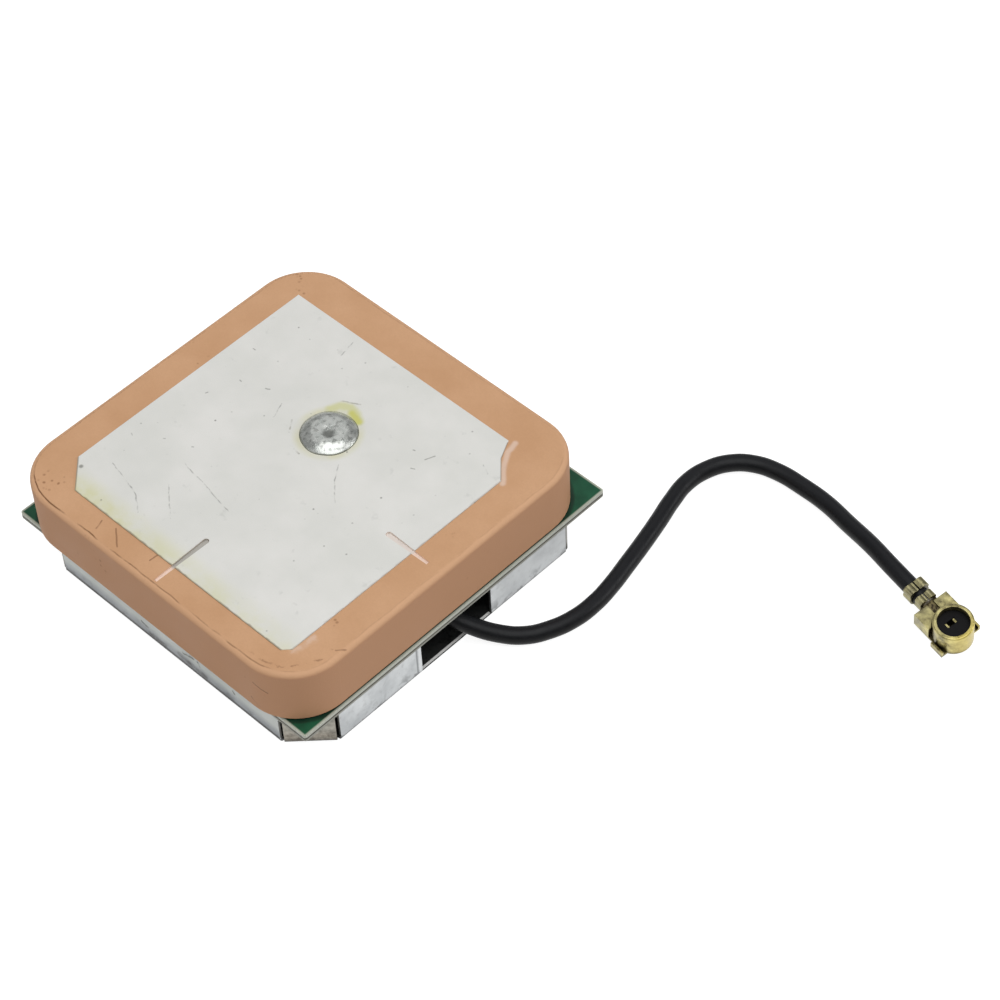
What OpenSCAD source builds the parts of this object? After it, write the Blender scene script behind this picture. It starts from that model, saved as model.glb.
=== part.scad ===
// GPS antenna module: a square ceramic patch on a small circuit board, a folded shield can
// under the board, and a thin coaxial lead that ends in a micro coax plug.
// Millimetres. The origin is the centre of the can's underside, +Z is up, and the lead
// leaves through the notch in the can's +X wall.

/* [Ceramic patch] */
// Side of the square ceramic block
ceramic_side = 25; // [22:0.5:27]
// Height of the ceramic block
ceramic_height = 4; // [2:0.25:6]
// Radius of the block's upright corners
ceramic_corner_r = 3.6; // [1.5:0.1:4.5]
// Radius of the round along the block's top edge
ceramic_edge_r = 0.35; // [0.1:0.05:0.8]
// Distance of the block's centre from the board's centre, towards -Y
ceramic_shift = 0.6; // [0:0.1:1]

/* [Electrodes] */
// Margin of bare ceramic between the silver patch and the block's sides
patch_margin = 2.4; // [1.9:0.1:4]
// Distance of the patch's centre from the block's centre, towards -Y
patch_shift = 0.5; // [0:0.1:1]
// Thickness of the fired silver on the block
silver_thickness = 0.05; // [0.02:0.01:0.1]
// Leg of the straight cut across the patch's -X -Y corner
patch_cut = 1.85; // [0.5:0.05:4]
// Length that the hand-ground +X +Y corner takes from the patch's +Y edge
ground_cut_x = 1.9; // [1.5:0.1:3]
// Length that the hand-ground +X +Y corner takes from the patch's +X edge
ground_cut_y = 2.6; // [1.5:0.1:3]
// Depth of the hollow in the hand-ground corner
ground_bite = 0.3; // [0:0.05:0.5]
// Leg of the small blunt at the patch's +X -Y corner
tip_cut = 0.5; // [0.2:0.05:1]
// Margin of bare ceramic around the ground electrode underneath
ground_margin = 0.5; // [0.2:0.1:2]

/* [Trimming slots] */
// Width of the two ground slots at their inner ends
slot_width = 0.4; // [0.2:0.05:0.8]
// Width of the two ground slots at their outer ends
slot_end_width = 0.22; // [0.1:0.02:0.4]
// Depth of the slots in the ceramic
slot_depth = 0.12; // [0.05:0.01:0.4]
// Length of the -Y slot inside the patch
front_slot_reach = 2.6; // [1:0.1:4]
// Length of the -Y slot past the patch's edge
front_slot_run = 1.4; // [0.3:0.1:1.6]
// Place of the -Y slot along X
front_slot_x = 0.5; // [-4:0.1:4]
// Length of the +X slot inside the patch
side_slot_reach = 2; // [1:0.1:4]
// Length of the +X slot past the patch's edge
side_slot_run = 1.2; // [0.3:0.1:1.6]
// Place of the +X slot along Y
side_slot_y = 0.1; // [-4:0.1:4]

/* [Feed] */
// Place of the feed pin along X from the block's centre
feed_x = -0.25; // [-2:0.05:2]
// Place of the feed pin along Y from the block's centre
feed_y = 2.75; // [1:0.05:5]
// Diameter of the pin's shank
pin_d = 0.9; // [0.6:0.05:1.2]
// Diameter of the pin's head
pin_head_d = 2.4; // [1.6:0.1:2.8]
// Thickness of the pin's head
pin_head_t = 0.2; // [0.1:0.02:0.26]
// Radial clearance round the shank
pin_clearance = 0.05; // [0.02:0.01:0.15]
// Length of the shank below the board
pin_tail = 0.6; // [0.3:0.05:1]
// Diameter of the solder cap over the head
cap_d = 3.7; // [3.2:0.1:4.5]
// Height of the solder cap over the patch
cap_height = 0.45; // [0.4:0.01:0.7]
// Radius of the pit in the cap's middle
cap_pit_r = 0.3; // [0.1:0.02:0.4]

/* [Circuit board] */
// Distance of the board's edges outside the block's own size
board_margin = 0.1; // [-0.5:0.1:1]
// Thickness of the board
board_thickness = 0.5; // [0.4:0.1:1.6]
// Radius of the board's corners
board_corner_r = 0.15; // [0.1:0.05:2]
// Thickness of the adhesive sheet between block and board
adhesive_thickness = 0.1; // [0.05:0.01:0.3]
// Thickness of the tinned pads and ground rim under the board
pad_thickness = 0.05; // [0.03:0.01:0.1]
// Width of the ground rim that the can is soldered to
rim_width = 1.2; // [0.8:0.1:2]
// Distance of the ground rim from the board's edge
rim_margin = 0.1; // [0.05:0.01:0.2]

/* [Shield can] */
// Distance of the can's walls inside the board's edge
can_inset = 0.45; // [0.25:0.05:0.8]
// Height of the can
can_height = 3.25; // [2.5:0.05:5]
// Thickness of the can's sheet
can_sheet = 0.2; // [0.1:0.01:0.25]
// Inside radius of the folds along the can's bottom edges
can_fold_r = 0.15; // [0.05:0.05:0.4]
// Leg of the cut across each corner of the can
can_cut = 2.4; // [1:0.1:3]
// Width of the open slit on each side of a corner panel
can_slit = 0.3; // [0.1:0.05:0.5]
// Width of the notch for the lead
notch_width = 5.9; // [4:0.1:8]
// Place of the notch's middle along Y
notch_y = 0.1; // [-1:0.1:1]
// Height of the sill left below the notch
notch_sill = 0.2; // [0.2:0.05:0.5]
// Length of each solder bead between can and ground rim
bead_length = 3; // [1:0.1:4]
// Leg of each solder bead
bead_leg = 0.2; // [0.1:0.02:0.24]

/* [Amplifier circuit] */
// Length of a chip part
chip_length = 1; // [0.6:0.1:1.6]
// Width of a chip part
chip_width = 0.5; // [0.3:0.05:0.8]
// Height of a chip capacitor or inductor
chip_height = 0.5; // [0.3:0.05:0.8]
// Height of a chip resistor
resistor_height = 0.35; // [0.2:0.05:0.5]
// Length of a chip part's end terminal
terminal_length = 0.25; // [0.1:0.05:0.28]
// Length of the amplifier's moulded body
amplifier_length = 2; // [1.6:0.1:2.4]
// Width of the amplifier's moulded body
amplifier_width = 1.25; // [1:0.05:1.6]
// Height of the amplifier's moulded body
amplifier_height = 0.9; // [0.6:0.05:1.2]
// Reach of the amplifier's leads on each side
lead_reach = 0.45; // [0.35:0.05:0.6]
// Width of an amplifier lead
lead_width = 0.3; // [0.2:0.05:0.4]
// Thickness of an amplifier lead
lead_thickness = 0.12; // [0.08:0.01:0.16]
// Side of the square filter
filter_side = 3; // [2:0.1:3.4]
// Height of the filter's ceramic body
filter_height = 1; // [0.6:0.05:1.3]
// Thickness of the filter's metal lid
filter_lid = 0.15; // [0.05:0.05:0.3]
// Border of the filter's body around its lid
filter_border = 0.2; // [0.1:0.05:0.5]

/* [Lead] */
// Outer diameter of the lead's jacket
cable_d = 1.13; // [1:0.01:1.2]
// Outer diameter of the braid
braid_d = 0.9; // [0.76:0.02:0.94]
// Outer diameter of the dielectric
dielectric_d = 0.68; // [0.4:0.02:0.72]
// Diameter of the centre conductor
conductor_d = 0.24; // [0.16:0.01:0.3]
// Length of bared braid inside the can
braid_tail = 0.9; // [0.6:0.1:1.2]
// Length of bared dielectric inside the can
dielectric_tail = 0.6; // [0.3:0.1:1]
// Length of bared conductor inside the can
conductor_tail = 0.8; // [0.6:0.1:1]
// Depth of the lead's axis below the ground rim inside the can
stub_drop = 0.75; // [0.62:0.01:0.8]

/* [Plug] */
// Diameter of the plug's bore
plug_bore_d = 2; // [1.9:0.02:2.2]
// Depth of the bore in front of the insulator
plug_bore_depth = 0.45; // [0.3:0.01:0.6]
// Radius of the insulator's body inside the ring
insulator_r = 0.8; // [0.7:0.01:0.85]
// Thickness of the insulator's flange below the bore
flange_thickness = 0.15; // [0.1:0.01:0.18]
// Radial hold of the ring over the insulator's flange
flange_hold = 0.16; // [0.16:0.01:0.18]
// Clearance round the insulator
insulator_clearance = 0.01; // [0.005:0.005:0.02]
// Wall of the plug's ring
ring_wall = 0.25; // [0.22:0.01:0.35]
// Height of the plug from its back to its mating rim
plug_height = 1.75; // [1.6:0.01:2]
// Thickness of the plug's sheet
plug_sheet = 0.15; // [0.1:0.01:0.16]
// Height of the shoulder behind the ring
shoulder_height = 1.1; // [1.08:0.01:1.14]
// Length of the shoulder behind the ring's centre
shoulder_length = 2.1; // [2.05:0.01:2.2]
// Height of the two side lips beside the ring
lip_height = 0.45; // [0.3:0.01:0.7]
// Radius of the round along the ring's outer rim
ring_edge_r = 0.1; // [0.05:0.01:0.15]
// Length of the crimp band round the jacket
crimp_length = 0.65; // [0.5:0.01:0.7]
// Length of the crimp band round the braid
braid_crimp_length = 0.52; // [0.4:0.01:0.6]
// Gap between the two crimp bands
crimp_spacing = 0.28; // [0.2:0.01:0.35]
// Radial clearance between crimp band and lead
crimp_clearance = 0.02; // [0.01:0.01:0.05]
// Width of the seam on top of each crimp band
seam_width = 0.1; // [0.05:0.01:0.2]

/* [Hidden] */
$fn = 48;

// Overlap that lets a cut run clear of a face
over = 0.1;

// Heights of the stack, from the can's underside upwards
rim_z = can_height;
board_z = rim_z + pad_thickness;
board_top = board_z + board_thickness;
ground_z = board_top + adhesive_thickness;
ceramic_z = ground_z + silver_thickness;
ceramic_top = ceramic_z + ceramic_height;
patch_top = ceramic_top + silver_thickness;

// Sizes that follow the block
patch_side = ceramic_side - 2 * patch_margin;
board_side = ceramic_side + 2 * board_margin;

// Feed pin in the board's frame
feed_place = [feed_x, feed_y - ceramic_shift];
pin_hole_r = pin_d / 2 + pin_clearance;
feed_pad_width = 0.6;
feed_gap_width = 1;
feed_pad_r = pin_hole_r + feed_pad_width;
feed_gap_r = pin_hole_r + feed_gap_width;
joint_wall = 0.1;

// Can: outer size, folds and panels
can_side = board_side - 2 * can_inset;
can_half = can_side / 2;
can_fold_out = can_fold_r + can_sheet;
corner_reach = (can_side - can_cut) / sqrt(2);
side_panel = can_side - 2 * can_cut - can_slit;
corner_panel = can_cut * sqrt(2) - can_slit;
bead_from_notch = 0.4;
bead_hollow = 0.8;

// Places of the chip parts under the board: X, Y and turn
capacitor_places = [[2.2, 2.15, 0], [2.9, 5.2, 90], [8.6, 4.4, 90]];
inductor_places = [[0.4, 5.2, 90], [6.6, 6.2, 0]];
resistor_places = [[4.4, 6.4, 0]];
amplifier_place = [4.6, 3.6];
filter_place = [6.9, -4.2];
chip_pad_margin = 0.08;
lead_row = 0.65;
lead_foot = 0.2;
filter_pad = 0.6;

// Lead: the jacket's route from its end inside the can to its end inside the plug.
// The plug rests on its front corner, so the lead rises a little to meet it.
cable_r = cable_d / 2;
stub_z = rim_z - stub_drop;
lay_clearance = 0.035;
lay_z = cable_r + lay_clearance;
plug_axis_z = cable_r + crimp_clearance + plug_sheet;
tail_rise = 0.59;
tail_drop = 0.125;
tail_z = plug_axis_z + tail_rise;
route = [
    [8.8, 0, stub_z],
    [10, 0, stub_z],
    [11.2, 0.3, 1.95],
    [12.5, 0.9, 1.4],
    [13.9, 1.9, 0.85],
    [15, 3, lay_z],
    [15.8, 4.3, lay_z],
    [16.3, 5.9, lay_z],
    [16.4, 7.6, lay_z],
    [16.2, 9.3, lay_z],
    [15.8, 11.2, lay_z],
    [15.4, 13, lay_z],
    [14.9, 15, lay_z],
    [14.4, 16.8, lay_z],
    [14.1, 18.5, lay_z],
    [14.3, 20.1, lay_z],
    [15, 21.5, lay_z],
    [16.2, 22.5, lay_z],
    [17.8, 23, lay_z],
    [19.6, 23.1, lay_z],
    [21.6, 23, 0.65],
    [23.8, 22.5, 0.85],
    [26.1, 21.9, 1.2],
    [28, 21.3, 1.45],
    [29.8, 20.88, tail_z + tail_drop],
    [31, 20.68, tail_z]
];
tube_sides = 8;
route_last = len(route) - 1;

// Bared end of the lead inside the can, measured back along -X from the jacket's end
braid_end = route[0].x - braid_tail;
dielectric_end = braid_end - dielectric_tail;
conductor_end = dielectric_end - conductor_tail;
braid_joint_x = route[0].x - braid_tail / 2;
conductor_joint_x = conductor_end + conductor_tail / 2;
braid_joint_r = 0.75;
braid_joint_margin = 0.02;
conductor_joint_r = 0.5;

// Plug: its own X axis points away from the lead, with the bore's axis at its origin
ring_r = plug_bore_d / 2 + ring_wall;
bore_floor = plug_height - plug_bore_depth;
insulator_top = bore_floor - 2 * insulator_clearance;
flange_low = bore_floor - flange_thickness;
flange_r = plug_bore_d / 2 + flange_hold;
lip_gap = 0.1;
lip_back = -0.3;
lip_front = 0.7;
shoulder_clearance = 0.05;
shoulder_gap = 0.2;
band_gap = 0.15;
jacket_gap = 0.05;
neck_overhang = 0.14;
neck_clearance = 0.02;
hump_side = 0.52;
hump_rise = 0.6;
hump_size = 0.47;
plug_half = ring_r + lip_gap + plug_sheet;
shoulder_half = ring_r;
shoulder_inner = shoulder_half - plug_sheet;
shoulder_front = -sqrt(max(0, pow(ring_r, 2) - pow(shoulder_inner, 2))) - shoulder_gap;
front_band_x = -shoulder_length - band_gap - braid_crimp_length;
rear_band_x = front_band_x - crimp_spacing - crimp_length;
jacket_end_x = front_band_x - jacket_gap;
spine_half = 0.4;
neck_half = 0.6;
neck_back = -shoulder_length - neck_overhang;
neck_top = shoulder_height - plug_sheet - neck_clearance;
shoulder_slot = 0.5;
shoulder_slot_front = -1.4;
contact_half = 0.37;
contact_sheet = 0.12;
contact_back = -1.9;
contact_front = 0.3;
blade_back = -0.4;
blade_front = -0.05;
blade_sheet = 0.15;
blade_sink = 0.06;
contact_top = plug_axis_z - conductor_d / 2;
wire_end = -1.7;
plug_leg = route[route_last] - route[route_last - 1];
plug_angle = atan2(plug_leg.y, plug_leg.x);
plug_pitch = -atan2(plug_leg.z, norm([plug_leg.x, plug_leg.y]));
plug_roll = 9;

// Shared shapes

// Square with round corners, centred
module round_square(side, r) {
    square([side, side - 2 * r], center = true);
    square([side - 2 * r, side], center = true);
    for (x = [-1, 1], y = [-1, 1])
        translate([x * (side / 2 - r), y * (side / 2 - r)])
            circle(r);
}

// Upright section of a block whose top edges are round, centred on X
module round_top_section(width, height, r) {
    translate([-width / 2, 0])
        square([width, height - r]);
    translate([-width / 2 + r, 0])
        square([width - 2 * r, height]);
    for (x = [-1, 1])
        translate([x * (width / 2 - r), height - r])
            circle(r);
}

// Square block with upright round corners and a round along its top edge
module soft_block(side, height, corner_r, edge_r) {
    straight = side - 2 * corner_r;
    for (turn = [0, 90])
        rotate([90, 0, turn])
            linear_extrude(straight, center = true)
                round_top_section(side, height, edge_r);
    for (x = [-1, 1], y = [-1, 1])
        translate([x * straight / 2, y * straight / 2, 0])
            rotate_extrude()
                intersection() {
                    round_top_section(2 * corner_r, height, edge_r);
                    square([corner_r, height]);
                }
}

// Slot with a round inner end at the origin, running along +X and getting narrower
module slot_outline(length) {
    circle(slot_width / 2);
    polygon([
        [0, -slot_width / 2],
        [length, -slot_end_width / 2],
        [length, slot_end_width / 2],
        [0, slot_width / 2]
    ]);
}

// The two trimming slots in the block's frame
module trim_slots() {
    half = patch_side / 2;
    translate([front_slot_x, -half - patch_shift + front_slot_reach])
        rotate(-90)
            slot_outline(front_slot_reach + front_slot_run);
    translate([half - side_slot_reach, side_slot_y - patch_shift])
        slot_outline(side_slot_reach + side_slot_run);
}

// Outline of the silver patch in the block's frame
module patch_outline() {
    half = patch_side / 2;
    cut_middle = [half - ground_cut_x / 2, half - ground_cut_y / 2];
    translate([0, -patch_shift])
        polygon([
            [-half + patch_cut, -half],
            [half - tip_cut, -half],
            [half, -half + tip_cut],
            [half, half - ground_cut_y],
            [cut_middle.x - ground_bite, cut_middle.y],
            [half - ground_cut_x, half],
            [-half, half],
            [-half, -half + patch_cut]
        ]);
}

// Moves its children into the block's frame
module on_block(z) {
    translate([0, -ceramic_shift, z])
        children();
}

// Hangs its children under the board's pads, with their own +Z pointing down
module under_board(place) {
    translate([place.x, place.y, rim_z])
        rotate(len(place) > 2 ? place.z : 0)
            mirror([0, 0, 1])
                children();
}

// Cylinder along X from one place to another
module rod_x(from, to, r) {
    translate([from, 0, 0])
        rotate([0, 90, 0])
            cylinder(h = to - from, r = r);
}

// Tube along X from one place to another
module tube_x(from, to, outer_r, inner_r) {
    difference() {
        rod_x(from, to, outer_r);
        rod_x(from - over, to + over, inner_r);
    }
}

// Box centred on X and Y that stands on its own floor
module centred_box(x, y, z) {
    translate([-x / 2, -y / 2, 0])
        cube([x, y, z]);
}

// Ceramic patch

module ceramic_block() {
    color([0.8, 0.63, 0.48])
        difference() {
            on_block(ceramic_z)
                soft_block(ceramic_side, ceramic_height, ceramic_corner_r, ceramic_edge_r);
            on_block(ceramic_top - slot_depth)
                linear_extrude(slot_depth + over)
                    trim_slots();
            translate([feed_place.x, feed_place.y, ceramic_z - over])
                cylinder(h = ceramic_height + 2 * over, r = pin_hole_r);
        }
}

module patch_electrode() {
    color([0.85, 0.85, 0.83])
        on_block(ceramic_top)
            linear_extrude(silver_thickness)
                difference() {
                    patch_outline();
                    trim_slots();
                    translate([feed_x, feed_y])
                        circle(pin_hole_r);
                }
}

module ground_electrode() {
    color([0.8, 0.8, 0.78])
        on_block(ground_z)
            linear_extrude(silver_thickness)
                difference() {
                    round_square(ceramic_side - 2 * ground_margin, ceramic_corner_r - ground_margin);
                    translate([feed_x, feed_y])
                        circle(feed_gap_r);
                }
}

module adhesive_sheet() {
    color([0.9, 0.88, 0.8])
        on_block(board_top)
            linear_extrude(adhesive_thickness)
                difference() {
                    round_square(ceramic_side - 2 * ground_margin, ceramic_corner_r - ground_margin);
                    translate([feed_x, feed_y])
                        circle(feed_gap_r);
                }
}

// Feed pin and its solder

module feed_pin() {
    color([0.8, 0.78, 0.7])
        translate([feed_place.x, feed_place.y, rim_z - pin_tail]) {
            cylinder(h = patch_top + pin_head_t - rim_z + pin_tail, r = pin_d / 2);
            translate([0, 0, patch_top - rim_z + pin_tail])
                cylinder(h = pin_head_t, r = pin_head_d / 2);
        }
}

// Low dome over the pin's head, with a pit in its middle
module feed_solder_cap() {
    base_r = cap_d / 2;
    dome_r = (pow(base_r, 2) + pow(cap_height, 2)) / (2 * cap_height);
    color([0.65, 0.67, 0.64])
        translate([feed_place.x, feed_place.y, patch_top])
            rotate_extrude()
                difference() {
                    intersection() {
                        translate([0, cap_height - dome_r])
                            circle(dome_r, $fn = 160);
                        square([base_r, cap_height]);
                    }
                    square([pin_head_d / 2, pin_head_t]);
                    translate([0, cap_height + cap_pit_r / 2])
                        circle(cap_pit_r);
                }
}

module feed_solder_joint() {
    color([0.72, 0.73, 0.72])
        difference() {
            under_board(feed_place)
                cylinder(h = pin_tail, r1 = feed_pad_r, r2 = pin_d / 2 + joint_wall);
            translate([feed_place.x, feed_place.y, 0])
                cylinder(h = rim_z + over, r = pin_d / 2);
        }
}

// Circuit board

module circuit_board() {
    color([0.11, 0.4, 0.24])
        translate([0, 0, board_z])
            linear_extrude(board_thickness)
                difference() {
                    round_square(board_side, board_corner_r);
                    translate(feed_place)
                        circle(pin_hole_r);
                }
}

module ground_rim() {
    rim_side = board_side - 2 * rim_margin;
    color([0.75, 0.74, 0.7])
        translate([0, 0, rim_z])
            linear_extrude(pad_thickness)
                difference() {
                    round_square(rim_side, board_corner_r);
                    intersection() {
                        square(rim_side - 2 * rim_width, center = true);
                        rotate(45)
                            square(2 * (corner_reach - rim_width), center = true);
                    }
                }
}

// Pads under both ends of a chip part
module chip_pads() {
    for (x = [-1, 1])
        translate([x * (chip_length - terminal_length) / 2, 0, -pad_thickness])
            centred_box(
                terminal_length + chip_pad_margin,
                chip_width + 2 * chip_pad_margin,
                pad_thickness
            );
}

module board_pads() {
    color([0.78, 0.76, 0.7]) {
        for (place = concat(capacitor_places, inductor_places, resistor_places))
            under_board(place)
                chip_pads();
        under_board(amplifier_place)
            for (x = [-1, 1], y = [-1, 1])
                translate([
                    x * lead_row,
                    y * (amplifier_width / 2 + lead_reach - lead_foot / 2),
                    -pad_thickness
                ])
                    centred_box(lead_width + chip_pad_margin, lead_foot + chip_pad_margin, pad_thickness);
        under_board(filter_place)
            for (x = [-1, 1], y = [-1, 1])
                translate([
                    x * (filter_side - filter_pad) / 2,
                    y * (filter_side - filter_pad) / 2,
                    -pad_thickness
                ])
                    centred_box(filter_pad, filter_pad, pad_thickness);
        translate([feed_place.x, feed_place.y, rim_z])
            difference() {
                cylinder(h = pad_thickness, r = feed_pad_r);
                translate([0, 0, -over])
                    cylinder(h = pad_thickness + 2 * over, r = pin_hole_r);
            }
        translate([braid_joint_x, 0, rim_z])
            cylinder(h = pad_thickness, r = braid_joint_r);
        translate([conductor_joint_x, 0, rim_z])
            cylinder(h = pad_thickness, r = conductor_joint_r);
    }
}

// Shield can

// Section of one folded wall: outer face on x = 0, underside on y = 0
module fold_section() {
    translate([-can_fold_out, can_fold_out])
        intersection() {
            difference() {
                circle(can_fold_out);
                circle(can_fold_r);
            }
            translate([0, -can_fold_out])
                square(can_fold_out);
        }
    translate([-can_sheet, can_fold_out])
        square([can_sheet, can_height - can_fold_out]);
}

// One folded wall on the +X side, at a distance from the can's centre
module folded_wall(distance, length) {
    translate([distance, 0, 0])
        rotate([90, 0, 0])
            linear_extrude(length, center = true)
                fold_section();
}

module shield_can() {
    color([0.78, 0.79, 0.8])
        difference() {
            union() {
                linear_extrude(can_sheet)
                    intersection() {
                        square(can_side - 2 * can_fold_out, center = true);
                        rotate(45)
                            square(2 * (corner_reach - can_fold_out), center = true);
                    }
                for (turn = [0 : 90 : 270]) {
                    rotate(turn)
                        folded_wall(can_half, side_panel);
                    rotate(turn + 45)
                        folded_wall(corner_reach, corner_panel);
                }
            }
            translate([can_half - 2 * can_fold_out, notch_y - notch_width / 2, notch_sill])
                cube([3 * can_fold_out, notch_width, can_height]);
        }
}

// Solder fillet in the corner between the can's wall and the ground rim
module solder_bead(distance, along) {
    translate([distance, along, rim_z])
        rotate([90, 0, 0])
            linear_extrude(bead_length, center = true)
                difference() {
                    translate([0, -bead_leg])
                        square(bead_leg);
                    translate([bead_leg, -bead_leg])
                        circle(bead_leg * bead_hollow);
                }
}

module can_solder() {
    color([0.74, 0.75, 0.74]) {
        solder_bead(can_half, notch_y + notch_width / 2 + bead_from_notch + bead_length / 2);
        for (turn = [90, 180, 270])
            rotate(turn)
                solder_bead(can_half, 0);
    }
}

// Amplifier circuit

module amplifier_chip() {
    color([0.08, 0.08, 0.09])
        under_board(amplifier_place)
            translate([0, 0, lead_thickness])
                centred_box(amplifier_length, amplifier_width, amplifier_height - lead_thickness);
}

// Cranked lead from the side of the moulded body down to its pad
module cranked_lead() {
    half = amplifier_width / 2;
    middle = amplifier_height / 2;
    foot = lead_reach - lead_foot;
    rotate([90, 0, 90])
        linear_extrude(lead_width, center = true)
            polygon([
                [half, middle],
                [half + foot, middle],
                [half + foot, lead_thickness],
                [half + lead_reach, lead_thickness],
                [half + lead_reach, 0],
                [half + foot - lead_thickness, 0],
                [half + foot - lead_thickness, middle - lead_thickness],
                [half, middle - lead_thickness]
            ]);
}

module amplifier_leads() {
    color([0.76, 0.76, 0.74])
        under_board(amplifier_place)
            for (x = [-1, 1], turn = [0, 180])
                rotate(turn)
                    translate([x * lead_row, 0, 0])
                        cranked_lead();
}

module filter_body() {
    color([0.85, 0.82, 0.74])
        under_board(filter_place)
            centred_box(filter_side, filter_side, filter_height);
}

module filter_lid_plate() {
    lid_side = filter_side - 2 * filter_border;
    color([0.83, 0.7, 0.4])
        under_board(filter_place)
            translate([0, 0, filter_height])
                centred_box(lid_side, lid_side, filter_lid);
}

module chip_body(place, height, tint) {
    color(tint)
        under_board(place)
            centred_box(chip_length - 2 * terminal_length, chip_width, height);
}

module chip_ends(place, height) {
    color([0.78, 0.78, 0.76])
        under_board(place)
            for (x = [-1, 1])
                translate([x * (chip_length - terminal_length) / 2, 0, 0])
                    centred_box(terminal_length, chip_width, height);
}

// Lead

function unit(v) = v / norm(v);

// Direction of the lead at one of its points, along its own leg at both ends
function route_direction(i) = unit(route[min(i + 1, route_last)] - route[max(i - 1, 0)]);

// Ring of points round the lead at one of its points
function route_ring(i) =
    let (
        ahead = route_direction(i),
        side = unit(cross(ahead, [0, 0, 1])),
        up = cross(side, ahead)
    )
    [
        for (k = [0 : tube_sides - 1])
            let (turn = 360 * k / tube_sides)
            route[i] + cable_r * (cos(turn) * side + sin(turn) * up)
    ];

// Two triangles for each side of each leg of the lead
function leg_faces(i) = [
    for (k = [0 : tube_sides - 1])
        let (
            here = i * tube_sides,
            next = here + tube_sides,
            turn = (k + 1) % tube_sides
        )
        each [[here + k, here + turn, next + k], [here + turn, next + turn, next + k]]
];

module cable_jacket() {
    points = [for (i = [0 : route_last]) each route_ring(i)];
    near_end = [for (k = [tube_sides - 1 : -1 : 0]) k];
    far_end = [for (k = [0 : tube_sides - 1]) route_last * tube_sides + k];
    legs = [for (i = [0 : route_last - 1]) each leg_faces(i)];
    color([0.1, 0.11, 0.12])
        polyhedron(points = points, faces = concat([near_end], legs, [far_end]));
}

module cable_braid() {
    color([0.72, 0.72, 0.7])
        translate([0, 0, stub_z])
            tube_x(braid_end, route[0].x, braid_d / 2, dielectric_d / 2);
}

module cable_dielectric() {
    color([0.94, 0.94, 0.92])
        translate([0, 0, stub_z])
            tube_x(dielectric_end, route[0].x, dielectric_d / 2, conductor_d / 2);
}

module cable_conductor() {
    color([0.85, 0.82, 0.75])
        translate([0, 0, stub_z])
            rod_x(conductor_end, route[0].x, conductor_d / 2);
}

// Solder joints that hold the braid and the conductor on their pads
module cable_solder() {
    color([0.74, 0.75, 0.74]) {
        difference() {
            under_board([braid_joint_x, 0])
                cylinder(h = stub_drop, r1 = braid_joint_r, r2 = braid_tail / 2 - braid_joint_margin);
            translate([0, 0, stub_z])
                rod_x(braid_end - 2 * over, route[0].x + 2 * over, braid_d / 2);
            translate([route[0].x, -cable_r - over, stub_z - over])
                cube([cable_d, cable_d + 2 * over, cable_r + 2 * over]);
            translate([0, 0, stub_z])
                rod_x(dielectric_end, braid_end, dielectric_d / 2);
        }
        difference() {
            under_board([conductor_joint_x, 0])
                cylinder(h = stub_drop, r1 = conductor_joint_r, r2 = conductor_d);
            translate([0, 0, stub_z])
                rod_x(conductor_end - over, dielectric_end + over, conductor_d / 2);
            translate([0, 0, stub_z])
                rod_x(dielectric_end, braid_end, dielectric_d / 2);
        }
    }
}

// Plug

// Moves its children from the plug's frame to the lead's end, rolled a little about the lead
module at_plug() {
    translate(route[route_last])
        rotate([0, 0, plug_angle])
            rotate([0, plug_pitch, 0])
                rotate([plug_roll, 0, 0])
                    translate([-jacket_end_x, 0, -plug_axis_z])
                        children();
}

// Box in the plug's frame, centred on Y
module plug_box(from, to, half, low, high) {
    translate([from, -half, low])
        cube([to - from, 2 * half, high - low]);
}

// Crimp band closed round the lead in two humps, with its seam between them
module crimp_band(from, length, inner_r) {
    outer_r = inner_r + plug_sheet;
    to = from + length;
    translate([0, 0, plug_axis_z])
        difference() {
            union() {
                rod_x(from, to, outer_r);
                for (side = [-1, 1])
                    translate([0, side * hump_side * outer_r, hump_rise * outer_r])
                        rod_x(from, to, hump_size * outer_r);
            }
            rod_x(from - over, to + over, inner_r);
            plug_box(from - over, to + over, seam_width / 2, 0, 2 * outer_r);
        }
}

// Outline of the plug's base: under the shoulder, under the ring and out to the side lips
module base_outline() {
    translate([-shoulder_length, -shoulder_half])
        square([shoulder_length, 2 * shoulder_half]);
    translate([lip_back, -plug_half])
        square([lip_front - lip_back, 2 * plug_half]);
    circle(ring_r);
}

module plug_shell() {
    color([0.75, 0.66, 0.38])
        at_plug()
            union() {
                crimp_band(rear_band_x, crimp_length, cable_r + crimp_clearance);
                crimp_band(front_band_x, braid_crimp_length, braid_d / 2 + crimp_clearance);
                plug_box(rear_band_x, shoulder_front, spine_half, 0, plug_sheet);
                linear_extrude(plug_sheet)
                    base_outline();
                for (side = [-1, 1])
                    translate([0, side * (plug_half - plug_sheet / 2), 0])
                        plug_box(lip_back, lip_front, plug_sheet / 2, 0, lip_height);
                difference() {
                    plug_box(-shoulder_length, shoulder_front, shoulder_half, 0, shoulder_height);
                    plug_box(
                        -shoulder_length - over,
                        shoulder_front + over,
                        shoulder_inner,
                        plug_sheet,
                        shoulder_height - plug_sheet
                    );
                    plug_box(
                        -shoulder_length - over,
                        shoulder_slot_front,
                        shoulder_slot / 2,
                        plug_sheet,
                        plug_height
                    );
                    cylinder(h = plug_height, r = ring_r + shoulder_clearance);
                }
            }
}

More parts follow.
